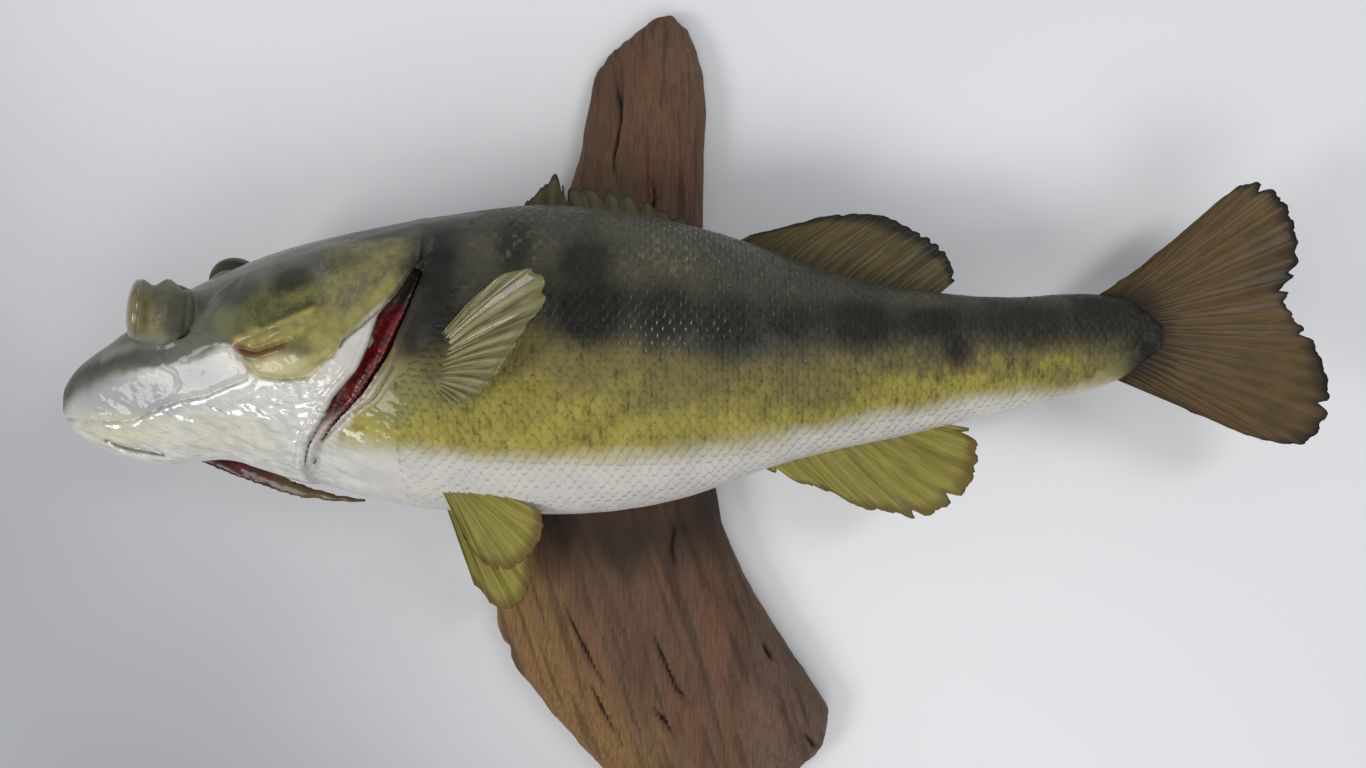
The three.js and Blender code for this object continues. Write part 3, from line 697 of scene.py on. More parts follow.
# One scale: how far back each cross row lies (0 root to 1 free edge), and its half height there.
PLATE_ROWS = ((0.0, 0.55), (0.4, 1.0), (0.75, 1.02), (0.91, 0.98), (1.0, 0.9))
PLATE_HEIGHTS = (-0.5, 0.25, 0.85, 1.0, 0.5)
PLATE_COLUMNS = (-1.0, -0.5, 0.0, 0.5, 1.0)
EDGE_BOW = 0.17  # how far the free edge bows back at its middle, as a share of the length
ROOTED = -1.2  # how deep its underside lies in the hide, as a share of its lift
UV_PATCH = 0.003  # each scale's own patch on its bake map
SINK = 0.3  # how far the flattest scales are drawn into the hide


def plate_pattern():
    """Points (back, up, height) and faces of one closed scale, with unit length and half height."""
    top = [(s - EDGE_BOW * s * t * t, t * half) for s, half in PLATE_ROWS for t in PLATE_COLUMNS]
    heights = [high * (1 - 0.22 * t * t) for high in PLATE_HEIGHTS for t in PLATE_COLUMNS]
    wide, long = len(PLATE_COLUMNS), len(PLATE_ROWS)
    rim = [*range(wide), *(wide * r + wide - 1 for r in range(1, long))]
    rim += [*range(wide * long - 2, wide * (long - 1) - 1, -1), *(wide * r for r in range(long - 2, 0, -1))]
    faces = [(a, a + 1, a + wide + 1, a + wide)
             for a in range(wide * (long - 1)) if a % wide < wide - 1]
    under = len(top)
    faces += [(rim[k], rim[k - 1], under + (k - 1) % len(rim), under + k) for k in range(len(rim))]
    faces.append(tuple(under + k for k in range(len(rim))))
    return np.array(top + [top[k] for k in rim]), np.array(heights + [ROOTED] * len(rim)), faces


def lay_scales(name, side, seed, first, low_x, last, pitch, covered):
    """One side's scales in rows counted from first, kept from low_x to last where covered() says."""
    stations, surface, reach = unwrap(side, first, last)
    outward = unit(np.cross(np.gradient(surface, axis=1), unit(np.gradient(surface, axis=0))) * side)
    draw = np.random.default_rng(seed)
    roots = []
    x, column = float(first), 0
    while x < last:
        size = 1 - 0.2 * rise(x, 60, 180) - 0.25 * rise(-x, 80, 130)
        low, high = (np.interp(x, stations, reach[:, k]) for k in (0, 1))
        step = ROW_SHARE * pitch * size
        for row in range(int(low / step) - 1, int(high / step) + 2):
            if (row + column) % 2 == 0 and low - 0.5 < row * step < high + 0.5:
                roots.append((x, row * step, size))
        x += pitch * size / 2
        column += 1
    roots = np.array(roots)
    keep, settled = covered(sample(surface, stations[0], roots[:, 0], roots[:, 1]))
    keep &= roots[:, 0] >= low_x
    roots, settled = roots[keep], settled[keep, None]
    plate, heights, faces = plate_pattern()
    back_along, up_along = plate.T
    count, corners = len(roots), len(plate)
    size = roots[:, 2:3]
    wobble = draw.normal(0, 1, (count, 3))
    turn = 0.08 * wobble[:, :1]
    roots[:, :2] += 0.06 * pitch * wobble[:, 1:]
    back = (back_along - 0.3) * (pitch * 1.75 * size)
    up = up_along * (ROW_SHARE * pitch * 1.12 * size)
    xs = roots[:, :1] + back * np.cos(turn) - up * np.sin(turn)
    arcs = roots[:, 1:2] + up * np.cos(turn) + back * np.sin(turn)
    lift = (heights * LIFT_SHARE * pitch * size + 0.05 * wobble[:, 1:2] * back_along) * settled
    lift -= SINK * (1 - rise(settled, 0, 0.1))
    points = sample(surface, stations[0], xs, arcs) + sample(outward, stations[0], xs, arcs) * lift[..., None]
    points = points.reshape(-1, 3)
    all_faces = [tuple(base + k for k in face[::side])
                 for base in range(0, len(points), corners) for face in faces]
    made = put_mesh(name, points, all_faces)
    on_top = np.arange(len(faces)) < (len(PLATE_ROWS) - 1) * (len(PLATE_COLUMNS) - 1)
    made.data.polygons.foreach_set("use_smooth", np.tile(on_top, count))
    for coat, strength in {
        **coats(points), "back_along": np.tile(back_along, count), "up_along": np.tile(up_along, count),
        "bold": np.repeat(settled[:, 0], corners), "lot": np.repeat(draw.random(count), corners),
    }.items():
        write_attribute(made, coat, strength)
    u = (roots[:, :1] - low_x) / (last - low_x) * 0.98 + 0.01 + (back_along - 0.5) * UV_PATCH
    v = (roots[:, 1:2] + ARC_REACH) / (2 * ARC_REACH - 1) + up_along * UV_PATCH / 2
    write_uv(made, "OFBake", np.stack([u, v], axis=2).reshape(-1, 2))
    return made


def body_scales(place):
    """Scales lie from the shoulder to the tail's root, and settle flat towards the shoulder."""
    x, y, z = place.T
    edge_x, edge_y = np.array(SHOULDER_EDGE).T
    past = x - np.interp(-y, -edge_y, edge_x)
    tail_x = np.maximum(148, 175 - 10 * ((y - 36) / 14) ** 2)
    keep = (past > 7) & (x < tail_x) & (np.abs(z - MIDDLE_Z) > 0.4)
    on_hide = 0.2 + 0.8 * rise(y - level_of(WHITE_EDGE, x), -5, 4)
    on_hide *= 1 - 0.4 * rise(y - level_of(DARK_EDGE, x), 6, 26)
    return keep, rise(past, 6, 42) * on_hide


def cheek_scales(place):
    """Small scales on the cheek and gill cover."""
    cheek = [(-168, 37), (-158, 49), (-143, 50), (-139, 41), (-150, 37.5), (-160, 33.5)]
    cover = [(-139, 60), (-126, 64), (-113, 66), (-107, 60), (-114, 48), (-121, 41), (-132, 33), (-136, 44)]
    return np.maximum(*(patch(place, area, 0.1) for area in (cheek, cover))) > 0.5, np.full(len(place), 0.45)


scale_finish, shader, place = new_finish(
    "painted_scales", Coat_Roughness=0.1, Coat_IOR=1.9, Specular_IOR_Level=0.2)
back_along, lot, white = place["back_along"], place["lot"], place["white"]
plain = (1 - white * 0.9) * place["bold"]
ragged = place.clouds(0.0014, 3, 0.6) - 0.5
patchy = place.clouds(0.0035, 3, 0.6).between(0.38, 0.62)
middle = (1 - place["up_along"].maths("ABSOLUTE").between(0.3, 0.8)) * patchy
# Painted shade at each scale's root, where the scale in front laps over it; then dark dashes near each free
# edge, partly the fish's own flecks and partly painted shade along the edges.
shade = (1 - (back_along + ragged * 0.15).between(0.4, 0.68)) * (0.1 + patchy * 0.14)
fleck_and_edge_shade = (1 - (back_along - 0.82 + ragged * 0.3).maths("ABSOLUTE").between(0.03, 0.13)) * middle * lot
# A paler line along each free edge on the upper flank: the edge's pale horn and a painted highlight.
horn_and_highlight = (back_along + ragged * 0.08).between(0.9, 0.97) * (lot * 0.6 + 0.1) * place["dusk"]
pale = place["specks"] * lot.between(0.35, 0.75) * middle
pale *= 1 - (back_along - 0.78).maths("ABSOLUTE").between(0.08, 0.2)
# In a patch of the mid flank the free edges are painted pale as painted glints, and the varnish there is
# glossier too.
length_x = place.part(0)
polished_glint_zone = length_x.between(-0.04, -0.01) * (1 - length_x.between(0.035, 0.07)) * (1 - white)
painted_glint = (back_along + ragged * 0.06).between(0.93, 0.97) * polished_glint_zone * lot.between(0.1, 0.6) * patchy
colour = (lot * plain * 0.4).blend(fish_colour(place), (0.62, 0.6, 0.55, 1), "MULTIPLY")
colour = (shade * plain * (1 - place["back"] * 0.6)).blend(colour, (0.38, 0.36, 0.3, 1), "MULTIPLY")
colour = (fleck_and_edge_shade * plain * 0.75).blend(colour, (0.3, 0.28, 0.22, 1), "MULTIPLY")
feed(
    shader, Base_Color=painted(colour, (horn_and_highlight * plain * 0.3, (132, 122, 84)), (pale * 0.5, (122, 116, 90)),
                               (painted_glint * plain * 0.75, (190, 188, 174))),
    Roughness=lot * 0.16 + 0.34,
    Coat_Weight=back_along.between(0.86, 0.94) * (polished_glint_zone * 0.9 + 0.06) * (lot * 0.6 + 0.4),
    Normal=bumped(place.clouds(0.0009, 3, 0.7), 0.0002),
)
for name, side, seed, first, low_x, last, pitch, covered in (
    ("scales_near_front", 1, 11, -150, -150, 10, PITCH, body_scales),
    ("scales_near_rear", 1, 12, -150, 10, 184, PITCH, body_scales),
    ("scales_far_front", -1, 13, -150, -150, 10, PITCH, body_scales),
    ("scales_far_rear", -1, 14, -150, 10, 184, PITCH, body_scales),
    ("scales_near_cheek", 1, 15, -170, -170, -104, CHEEK_PITCH, cheek_scales),
    ("scales_far_cheek", -1, 16, -170, -170, -104, CHEEK_PITCH, cheek_scales),
):
    scales = lay_scales(name, side, seed, first, low_x, last, pitch, covered)
    scales.data.materials.append(scale_finish)
    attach(scales, "root")

# --- Eyes --------------------------------------------------------------------------------------------
# Glass eyes with the iris painted behind a clear dome. The left one has been pushed forward out of its
# shrunken socket, on a plug of tan filler; the right one sits deep under its brow.
LEFT_EYE, LEFT_AXIS = (-208.4, 39.2, 96), (-0.91, 0.1, 0.4)
RIGHT_EYE, RIGHT_AXIS = (-191.5, 54.5, 42.5), (-0.2, 0.55, -0.81)
PUPIL = (-213, 39, 92)


def turned(name, centre, axis, profile, segments=96):
    """A closed turned piece along an axis, from (radius, distance) pairs that start and end on the axis."""
    rings = profile[1:-1]
    angles = [2 * math.pi * k / segments for k in range(segments)]
    points = [(0, 0, profile[0][1])]
    points += [(r * math.cos(a), r * math.sin(a), h) for r, h in rings for a in angles]
    points.append((0, 0, profile[-1][1]))
    last = len(points) - 1
    pairs = [(k, (k + 1) % segments) for k in range(segments)]
    faces = [(0, 1 + k, 1 + n) for k, n in pairs]
    faces += [(ring + k, ring + segments + k, ring + segments + n, ring + n)
              for ring in range(1, last - segments, segments) for k, n in pairs]
    faces += [(last, last - segments + n, last - segments + k) for k, n in pairs]
    turn = Vector((0, 0, 1)).rotation_difference(Vector(axis).normalized())
    made = put_mesh(name, [tuple(turn @ Vector(p) + Vector(centre)) for p in points], faces)
    edit(made, bpy.ops.mesh.normals_make_consistent, inside=False)
    return made


def dome_profile(radius, height, skirt):
    """A glass eye in section: flat back, short skirt, then the clear dome."""
    back = [(0, -skirt), (radius * 0.55, -skirt), (radius * 0.97, -skirt), (radius, -skirt * 0.9)]
    arc = [(radius * math.cos(a), height * math.sin(a)) for a in np.radians(np.arange(4, 86, 6))]
    return [*back, (radius, 0), *arc, (0, height)]


left_eye = turned("eye_left_glass", LEFT_EYE, LEFT_AXIS, dome_profile(11.3, 3.2, 1.4))
filler = turned("eye_left_filler", LEFT_EYE, LEFT_AXIS, [
    (0, -1), (6, -1), (11.2, -1), (11.3, -1.5), (10.9, -2.5), (10.1, -3.5), (9.4, -4.6), (9.9, -5.8),
    (11, -7), (12, -8.2), (12.5, -9.4), (12.3, -11), (11.2, -13), (9.6, -15), (7.6, -17), (0, -17)])
points = read_points(filler)
below = rise(LEFT_EYE[1] - points[:, 1], 3, 10)
axis = np.array(Vector(LEFT_AXIS).normalized())
along = (points - LEFT_EYE) @ axis
spoke = points - LEFT_EYE - along[:, None] * axis
radius = np.linalg.norm(spoke, axis=1) + 1e-9
filled = np.where((along < -1) & (along > -13), np.maximum(radius, 12.2 - 0.1 * np.abs(along + 7)), radius)
outwards = spoke / radius[:, None] * (radius > 6)[:, None]
points += outwards * ((filled - radius) * below)[:, None]
points += outwards * (0.35 * grain_noise(points, (3, 5, 4), 31))[:, None]
write_points(filler, points)
plug = turned("plug", (-207.6, 39.8, 97), (-0.72, 0.12, 0.68), [
    (0, -12.6), (5, -12.6), (8.6, -12.8), (9.5, -13.6), (9.7, -15), (9.7, -17.4), (0, -17.4)])
filler.select_set(True)
bpy.context.view_layer.objects.active = filler
bpy.ops.object.join()
right_eye = turned("eye_right_glass", RIGHT_EYE, RIGHT_AXIS, dome_profile(10.3, 6.3, 2.0))


def eye_coats(made):
    """Where each tint of the sunken left eye lies, by the side view in millimetres, with painted shade on its
    socket side and a painted highlight along its lower rim.
    """
    points = read_points(made)
    x, y, z = points.T
    ragged = 1.1 * grain_noise(points, (4, 6, 4), 32)
    for name, strength in {
        "moss": np.maximum(1 - rise(x + ragged, -212, -209.3), rise(y + ragged, 43.5, 48)),
        # The darker brown towards the socket side is painted shade.
        "gold": rise(x + ragged, -206.2, -204), "socket_shade": rise(x + 0.25 * (y - 40) + ragged, -200.5, -196.5),
        "crease": hump(off_line(points, [(-204.6, 46), (-206.5, 43.5), (-209.8, 39), (-210.3, 34)]), 1.6),
        # A pale crescent along the lower rim: a painted highlight.
        "rim": 1 - rise(y + 0.1 * ragged, 27.6, 31.5),
        "pupil": 1 - rise(np.linalg.norm(points - PUPIL, axis=1), 2.8, 3.2),
    }.items():
        write_attribute(made, name, strength)


def sunken_finish(name, **constants):
    """Clouded tan, moss green towards the rim, a dark brown painted shade towards the socket and a painted
    highlight along the lower rim.
    """
    material, shader, place = new_finish(name, **constants)
    worn = place.clouds(0.004, 3, 0.6).between(0.3, 0.7)
    feed(shader, Normal=bumped(worn, 0.0002), Base_Color=painted(
        worn.blend((132, 119, 86), (120, 108, 80)),
        (place["gold"], worn.blend((118, 108, 68), (104, 96, 68))),
        # painted shade towards the socket side
        (place["socket_shade"], worn.blend((84, 82, 68), (94, 91, 74))),
        (place["moss"] * 0.85, (104, 107, 86)), (place["crease"] * 0.6, (92, 66, 48)),
        # the pale lower rim, a painted highlight
        (place["rim"] * 0.8, (124, 126, 112)), (place["pupil"], (20, 18, 16)),
    ))
    return material


eye_coats(left_eye)
eye_coats(filler)
clouded = sunken_finish(
    "left_eye_glass", Roughness=0.25, Coat_Weight=0.5, Coat_Roughness=0.12, Specular_IOR_Level=0.4)
putty = sunken_finish("tan_filler", Roughness=0.42, Specular_IOR_Level=0.3)
dark, shader, place = new_finish(
    "right_eye_glass", Roughness=0.35, Coat_Weight=0.25, Coat_Roughness=0.15, Specular_IOR_Level=0.25)


def vector_maths(operation, first, second=(0, 0, 0), output=0):
    return place.node("ShaderNodeVectorMath", {"operation": operation}, {0: first, 1: second}, output)


offset = vector_maths("SUBTRACT", place, Vector(RIGHT_EYE) * MM)
along = vector_maths("DOT_PRODUCT", offset, Vector(RIGHT_AXIS).normalized(), 1)
whole = vector_maths("LENGTH", offset, output=1)
from_axis = (whole * whole - along * along).maths("MAXIMUM", 0).maths("SQRT") * 1000
iris = (from_axis + place.clouds(0.0012) * 2 - 1).between(5.5, 9).blend((88, 80, 52), (66, 69, 56))
feed(shader, Base_Color=from_axis.between(4.7, 5.3).blend((16, 15, 14), iris))
for made, material, node, slot in (
    (left_eye, clouded, "eye_left", "eye_glass"), (right_eye, dark, "eye_right", "eye_glass"),
    (filler, putty, "eye_filler_left", "eye_filler"),
):
    made.data.materials.append(material)
    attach(made, "root")
    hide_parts(node)


# --- Gills -------------------------------------------------------------------------------------------
# The gill combs that show in the open slit, painted a wet deep red and near black at the top as painted shade
# deep in the slit: rows of soft leaves on their arch.
gills = copy_of("gills", name="gill_combs")
finish_with(gills, "REMESH", mode="VOXEL", voxel_size=0.9 * MM, use_smooth_shade=True)
points, normals = read_points(gills), read_normals(gills)
x, y, z = points.T
leaves = np.abs(np.sin((y * 0.86 + x * 0.5) * math.pi / 2.3 + 0.9 * grain_noise(points, (7, 7, 7), 6)))
rows = np.sin((x * 0.86 - y * 0.5) * math.pi / 3.4 + grain_noise(points, (9, 9, 9), 7))
write_points(gills, points + normals * (-0.8 + 0.75 * leaves + 0.35 * rows)[:, None])
finish_with(gills, "SMOOTH", factor=0.4, iterations=2)
points = read_points(gills)
x, y, z = points.T
z += (3 * rise(-y, -2, 7) + 1.4 * rise(-y, 7, 13)) * (z > MIDDLE_Z)
write_points(gills, points)
for name, strength in {
    # Near black at the top of the slit is painted shade.
    "slit_shade": rise(y, 36, 44), "rosy": rise(-y, -3, 7), "healed": rise(-y, 6, 13) * (z > MIDDLE_Z),
}.items():
    write_attribute(gills, name, strength)
wet_red, shader, place = new_finish(
    "wet_red_gill", Coat_Weight=0.35, Coat_Roughness=0.12, Specular_IOR_Level=0.3)
lobes = place.clouds(0.0028, 4, 0.6)
feed(shader, Roughness=lobes * 0.3 + 0.2, Normal=bumped(lobes, 0.0006), Base_Color=painted(
    lobes.between(0.35, 0.65).blend((112, 16, 20), (62, 12, 14)),
    # painted shade at the top of the slit
    (place["slit_shade"], (40, 34, 28)), (place["rosy"], (204, 186, 180)), (place["healed"], (212, 209, 202)),
))
gills.data.materials.append(wet_red)
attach(gills, "root")
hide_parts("gills")

# --- Fins --------------------------------------------------------------------------------------------
# Each fin is dried between cards: thin skin over horny rays that swell both faces, its free edge frayed
# between the rays. They are made as closed sheets spanned from a root line to the fin's outline.
def smooth_line(points, count, lean=1):
    """That many points evenly along a smooth curve through a few, or crowded to one end by lean."""
    line = np.asarray(points, float)
    padded = np.vstack([2 * line[0] - line[1], line, 2 * line[-1] - line[-2]])
    dense = []
    for a, b, c, d in zip(padded, padded[1:], padded[2:], padded[3:]):
        for t in np.arange(0, 1, 0.05):
            swing = (2 * a - 5 * b + 4 * c - d) * t**2 + (3 * b - a - 3 * c + d) * t**3
            dense.append(0.5 * (2 * b + (c - a) * t + swing))
    dense = np.array(dense + [line[-1]])
    run = np.concatenate([[0], np.cumsum(np.linalg.norm(np.diff(dense, axis=0), axis=1))])
    at = np.linspace(0, 1, count) ** lean * run[-1]
    return np.stack([np.interp(at, run, dense[:, k]) for k in range(3)], axis=1)


COLUMNS_PER_RAY = 8
FIN_ROWS = 30
FIN_SKIN, FIN_RAY = 0.5, 0.6  # the thickness of the dried skin, and what a ray adds to it


def make_fin(name, root, outline, rays, frayed, pleat, lean, bend, seed, notches=()):
    """A fin as one closed sheet with a swelling along each ray and a frayed free edge."""
    draw = np.random.default_rng(seed)
    columns = rays * COLUMNS_PER_RAY + 1
    across = np.linspace(0, 1, columns)
    out = np.linspace(0, 1, FIN_ROWS)
    start = smooth_line(root, columns)
    end = smooth_line(outline, columns, lean)
    length = np.linalg.norm(end - start, axis=1)
    phase = across * rays
    ray = 1 - rise(np.abs(phase - np.round(phase)), 0.08, 0.34)
    nicks = frayed * (0.15 + draw.random(columns) * 0.45) * (1 - ray)
    tears = draw.random(rays + 1)[np.clip(phase.astype(int), 0, rays)]
    nicks += frayed * np.where(tears > 0.72, 1.4, 0) * hump(phase - phase.astype(int) - 0.5, 0.3)
    nicks += 0.25 * frayed * draw.random(columns)
    for centre, width, depth in notches:
        nicks += depth * hump(across - centre, width)
    trim = 1 - nicks / np.maximum(length, 1)
    sheet = start[:, None] + (end - start)[:, None] * (out[:, None] * trim[:, None, None])
    curl = bend * np.sin(out * math.pi) * (1 - across)[:, None]
    sheet = sheet - unit(np.gradient(sheet, axis=0)) * curl[..., None]
    normal = unit(np.cross(np.gradient(sheet, axis=0), np.gradient(sheet, axis=1)))
    if normal[..., 2].mean() < 0:
        normal = -normal
    fold = pleat * np.cos(phase * math.pi)[:, None] * np.sin(out * math.pi / 2)
    ripple = 0.35 * pleat * np.sin(across * 9 + seed)[:, None] * out**2
    sheet = sheet + normal * (fold + ripple)[..., None]
    branch = 1 - rise(np.abs(phase * 2 - np.round(phase * 2)), 0.1, 0.5)
    swell = ray[:, None] * (1.15 - 0.75 * out) + 0.35 * branch[:, None] * rise(out, 0.35, 0.7)
    half = normal * ((FIN_SKIN * (1.5 - 0.9 * out) + FIN_RAY * swell) / 2)[..., None]
    points = np.concatenate([(sheet + half).reshape(-1, 3), (sheet - half).reshape(-1, 3)])
    total = columns * FIN_ROWS
    faces = []
    for a in range(total - FIN_ROWS):
        if a % FIN_ROWS < FIN_ROWS - 1:
            b = a + FIN_ROWS
            faces += [(a, b, b + 1, a + 1), (total + a, total + a + 1, total + b + 1, total + b)]
    rim = [*range(0, total, FIN_ROWS), *range(total - FIN_ROWS + 1, total)]
    rim += [*range(total - FIN_ROWS - 1, 0, -FIN_ROWS), *range(FIN_ROWS - 2, 0, -1)]
    faces += [(rim[k], rim[k - 1], total + rim[k - 1], total + rim[k]) for k in range(len(rim))]
    made = put_mesh(name, points, faces)
    edit(made, bpy.ops.mesh.normals_make_consistent, inside=False)
    write_attribute(made, "ray", np.tile(np.repeat(ray, FIN_ROWS), 2))
    write_attribute(made, "out", np.tile(out, 2 * columns))
    width = np.linalg.norm(end[-1] - end[0])
    over, up = np.repeat(across * width, FIN_ROWS), np.repeat(length, FIN_ROWS) * np.tile(out, columns)
    write_uv(made, "spread", np.tile(np.stack([over, up], 1) * MM, (2, 1)))
    return made


def fin_finish(name, root, body, ray, edge, spot, clear=0.0, edge_at=0.82, gloss=0.35, wetness=0.1):
    """Streaked skin between rays, paler or darker on them, stained to the free edge."""
    material, shader, place = new_finish(name, Coat_Roughness=0.15, Specular_IOR_Level=0.15)
    spread = place.node("ShaderNodeUVMap", {"uv_map": "spread"})
    streaks = spread.scaled(1, 14).clouds(0.0011, 4, 0.65)
    broad = spread.scaled(1, 3).clouds(0.012)
    on_ray, out = place["ray"], place["out"]
    colour = painted(
        out.between(0.05, 0.4).blend(root, body),
        (streaks.between(0.42, 0.62) * 0.75, ray),
        (on_ray * (0.35 + streaks * 0.5), ray),
        (broad.between(0.5, 0.7) * 0.6, spot),
        ((out + broad * 0.3 - 0.15).between(edge_at, edge_at + 0.14), edge),
        (0.85 - out.between(0.03, 0.22) * 0.85, root),
    )
    sockets = {"Alpha": 1 - clear * (1 - on_ray) * out.between(0.2, 0.5)} if clear else {}
    feed(shader, Base_Color=colour, Roughness=streaks * 0.25 + gloss, Coat_Weight=broad * wetness + 0.02,
         Normal=bumped(streaks + on_ray * 0.5, 0.0005), **sockets)
    return material


brown = fin_finish(
    "brown_fin", (42, 39, 31), (78, 63, 40), (99, 79, 48), (38, 33, 26), (62, 49, 33), edge_at=0.88)
olive_brown = fin_finish(
    "dorsal_fin", (62, 58, 43), (72, 64, 42), (98, 84, 50), (40, 37, 29), (50, 44, 30),
    edge_at=0.8, gloss=0.5)
dark_olive = fin_finish(
    "spiny_fin", (62, 61, 48), (66, 63, 46), (96, 88, 60), (52, 50, 38), (46, 44, 33), gloss=0.5)
green = fin_finish(
    "green_fin", (122, 114, 62), (124, 116, 50), (148, 140, 72), (104, 88, 44), (104, 94, 46))
clear_green = fin_finish(
    "pectoral_fin", (92, 86, 60), (104, 99, 66), (156, 150, 108), (122, 118, 78), (92, 90, 58),
    clear=0.25, wetness=0.9)
# Each fin: its piece, solid, slot and finish, its root line and outline, and then the number of rays,
# how frayed, how pleated, how its rays crowd, how they bend, its random draw and the notches in its edge.
FINS = (
    ("fin_tail", "caudal_fin", "fin_brown", brown, [
        (157, 44.5, 60), (176, 42, 60), (181, 34, 60), (177, 22, 60), (168, 13.5, 60)], [
        (190, 65, 60), (205, 81, 60.5), (214, 88.5, 61), (221, 92.4, 61), (229.5, 90.6, 61.5),
        (237.5, 80.8, 62), (240.6, 66, 62), (240, 52, 62), (236, 46, 62), (238.5, 39, 62), (246, 30, 62),
        (252, 16, 62), (252.8, 1, 62), (247, -10.3, 61), (239, -13, 60.5), (222, -9.5, 60.2), (200, 0, 60)],
        28, 2.2, 0.2, 1, 0, 3, ((0.435, 0.02, 5),)),
    ("fin_soft_dorsal", "dorsal_fin_soft", "fin_brown", olive_brown, [
        (12, 64, 60), (40, 55, 60), (64, 48, 60), (92, 43, 60)], [
        (22, 71.5, 60), (34, 74.5, 59), (54, 79.6, 58), (74, 79.8, 57), (87, 74.4, 56), (98, 67.8, 56),
        (103, 60, 57), (104.2, 53, 58)], 15, 0.8, 0.2, 0.62, 3, 4),
    ("fin_spiny_dorsal", "dorsal_fin_spiny", "fin_brown", dark_olive, [
        (-72, 77, 58), (-50, 78, 58), (-24, 75, 58), (0, 69, 58)], [
        (-69, 85.5, 55), (-64, 91, 53), (-58, 97.5, 51), (-54.6, 96, 50), (-54.5, 88.5, 50), (-51, 91.8, 50),
        (-44, 92.6, 50), (-35, 91, 50), (-23, 87.6, 51), (-15, 83.6, 53), (2, 75.5, 56)],
        11, 4, 0.3, 1, 0, 5),
    ("fin_anal", "anal_fin", "fin_green", green, [(24, -16, 60), (54, -9, 60), (86, -2, 60)], [
        (28, -23, 60), (37, -27, 60), (55, -32.6, 61), (65, -38, 62), (78, -40.2, 63), (90, -42.2, 64),
        (104, -34.3, 65), (110.6, -25.5, 65), (112.4, -13.5, 64), (108.8, -6, 63)], 13, 2.4, 0.5, 0.8, 2, 6),
    ("fin_left_pectoral", "pectoral_fin_left", "fin_green", clear_green, [
        (-100, 24, 93), (-98.5, 18, 94), (-97, 10, 94)], [
        (-84, 41, 102), (-76, 47.6, 106), (-71, 50.8, 108), (-66, 52.4, 109.5), (-57.5, 52.6, 112),
        (-54.3, 46.5, 113), (-54.8, 40, 113.5), (-59.6, 35, 114), (-62, 30, 114), (-65.5, 25, 114),
        (-70.5, 17, 113), (-77, 9.5, 110), (-85, 4.5, 105), (-90, 5, 102)], 14, 1.2, 0.35, 0.66, 2.5, 7),
    ("fin_right_pectoral", "pectoral_fin_right", "fin_green", clear_green, [
        (-101, 25, 26), (-98.5, 17, 25), (-97, 9, 25)], [
        (-82, 50, 15), (-74, 47, 13), (-69, 40, 11), (-68, 31, 10), (-70, 22, 10), (-74, 14, 11),
        (-80, 7, 13), (-87, 3, 16)], 13, 1.2, 0.35, 1, 3, 8),
    ("fin_left_pelvic", "pelvic_fin_left", "fin_green", green, [
        (-99.5, -26, 79), (-93, -26, 81), (-87, -25.5, 82)], [
        (-89.5, -48.5, 80), (-82, -58, 79), (-74, -60.6, 78), (-66, -56.2, 78), (-61, -49.8, 79),
        (-59, -43.4, 80), (-60, -37.5, 81)], 9, 1.2, 0.5, 1, 0, 9),
    ("fin_right_pelvic", "pelvic_fin_right", "fin_green", green, [
        (-104, -31.5, 54), (-99, -33, 53), (-94, -34.5, 52)], [
        (-91, -71, 48), (-84, -79, 48), (-79.4, -81.4, 48), (-74, -80, 48), (-70.5, -77, 48),
        (-68, -69.5, 49), (-68.5, -60, 50)], 9, 1.2, 0.5, 1, 0, 10),
)
for name, node, slot, finish, root, outline, *making in FINS:
    fin = make_fin(name, root, outline, *making)
    fin.data.materials.append(finish)
    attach(fin, "root")
    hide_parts(node)

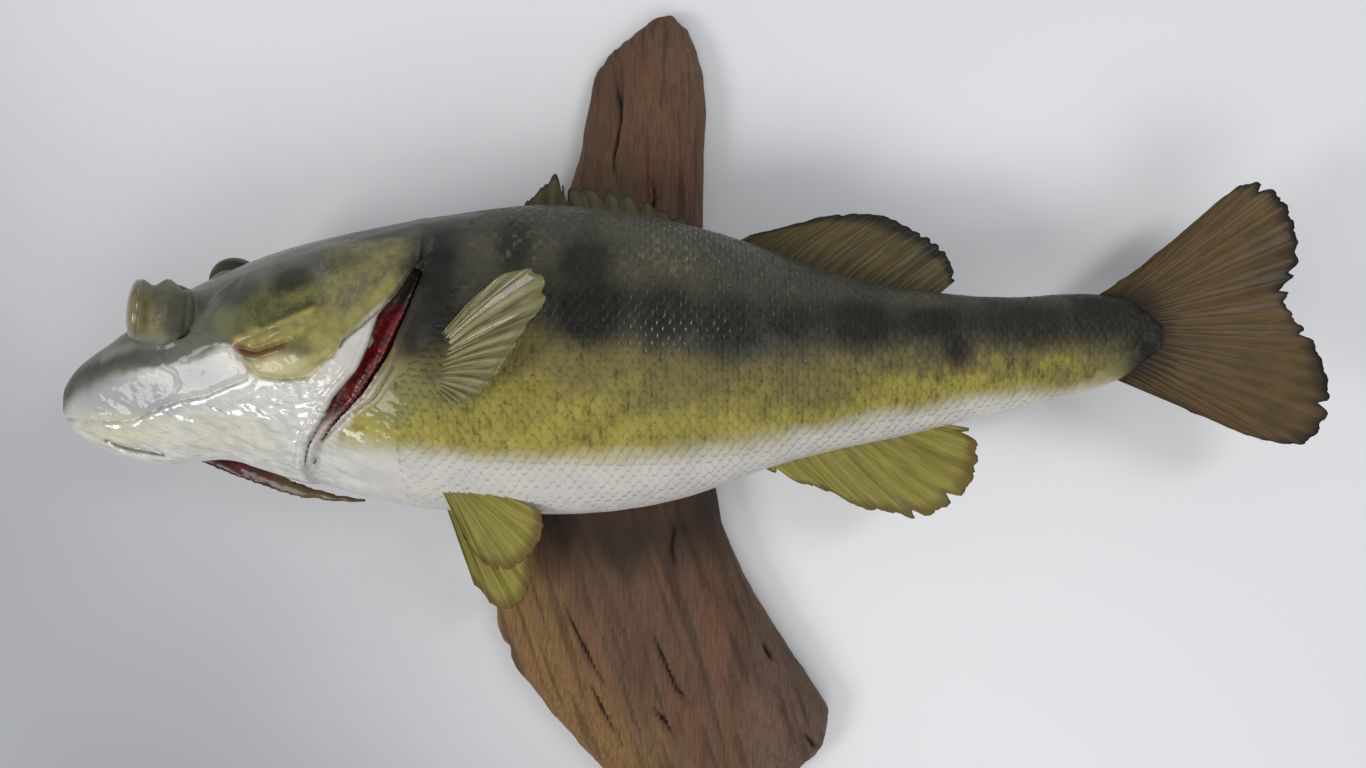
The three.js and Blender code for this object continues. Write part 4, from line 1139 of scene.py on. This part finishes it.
# --- Driftwood ---------------------------------------------------------------------------------------
# A slab of water-worn root with a flat back, brown and silvered, split by long cracks along its grain.
# Its face is furrowed by weather and worn round at the edges; the back was sawn and is left plain.
CRACK_WIDTH, CRACK_DEPTH = 1.5, 2.4
wood = copy_of("driftwood", name="driftwood_slab")
finish_with(wood, "REMESH", mode="VOXEL", voxel_size=1.3 * MM, use_smooth_shade=True)
finish_with(wood, "SMOOTH", factor=0.5, iterations=8)
points, normals = read_points(wood), read_normals(wood)
x, y, z = points.T
face_up = rise(z, 1.2, 4)
leaning = np.stack([x + 0.32 * np.minimum(y, 0), y, z], axis=1)  # the grain leans with the lower part
furrows = grain_noise(leaning, (3.4, 60, 10), 8, 4)
waves = grain_noise(leaning, (14, 70, 20), 9, 2)
CRACKS = [
    [(-19, 100), (-17, 92), (-19.5, 84), (-18, 76)], [(-57, -80), (-50, -96), (-43, -110), (-38, -118)],
    [(-8, -48), (-9.5, -58), (-8.5, -66)],
    [(-20, -92), (-14, -106), (-8, -120), (0, -128)], [(-19, -126), (-13, -134), (-9, -142)],
    [(-84, -102), (-83, -114), (-78, -126)], [(30, -100), (34, -108)], [(48, -140), (55, -150)],
    [(-36, 150), (-33, 128), (-36, 108), (-34, 96)], [(-46, -116), (-40, -130), (-34, -142)],
]
cut = np.maximum.reduce([groove(points + 0.6 * furrows[:, None], line, CRACK_WIDTH) for line in CRACKS])
depth = face_up * (0.75 * furrows + 0.9 * waves - CRACK_DEPTH * cut - 0.6)
write_points(wood, points + normals * depth[:, None])
patchy = grain_noise(points, (9, 30, 12), 10, 3)
rim = off_line(points, [(-76, -84), (-72, -105), (-60, -125), (-45, -142), (-30, -160)])
# Under the fish the wood is painted dark: a stain of its own and the fish's painted shadow.
under_fish = off_line(points, [(-62, -46), (-30, -56), (0, -50), (12, -36)])
for name, strength in {
    "cut": cut, "furrow": furrows, "ochre": hump(rim + 10 * patchy, 36),
    "stain_and_shadow": hump(under_fish + 7 * patchy, 27), "silver": rise(x + 14 * patchy, 10, 40) * (y < 0),
}.items():
    write_attribute(wood, name, strength)
weathered, shader, place = new_finish("weathered_wood", Specular_IOR_Level=0.25)
fibres = place.scaled(1, 16).clouds(0.0011, 5, 0.7)
bands = place.scaled(1, 5).clouds(0.02, 4, 0.55, 0.6)
reds = place.scaled(1, 6, 0.12).clouds(0.013)
feed(shader, Roughness=fibres * 0.2 + 0.6, Normal=bumped(fibres, 0.0008), Base_Color=painted(
    bands.between(0.35, 0.65).blend((96, 72, 54), (112, 86, 64)),
    (reds.between(0.5, 0.66) * 0.55, (124, 82, 64)),
    (place["ochre"] * 0.85, bands.blend((152, 118, 70), (130, 98, 58))),
    (place["silver"] * 0.5, (106, 90, 80)),
    # the dark under the fish, stain and painted shadow
    (place["stain_and_shadow"] * 0.9, (40, 32, 27)),
    (fibres.between(0.4, 0.7) * 0.6, (66, 50, 40)),
    # The sunken furrows are painted darker and the cracks near black: painted shade in these hollows.
    (place["furrow"].between(-0.1, -0.5) * 0.5, (58, 44, 36)),
    (place["cut"].between(0.2, 0.9), (30, 22, 18)),
))
wood.data.materials.append(weathered)
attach(wood, "root")
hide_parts("driftwood")
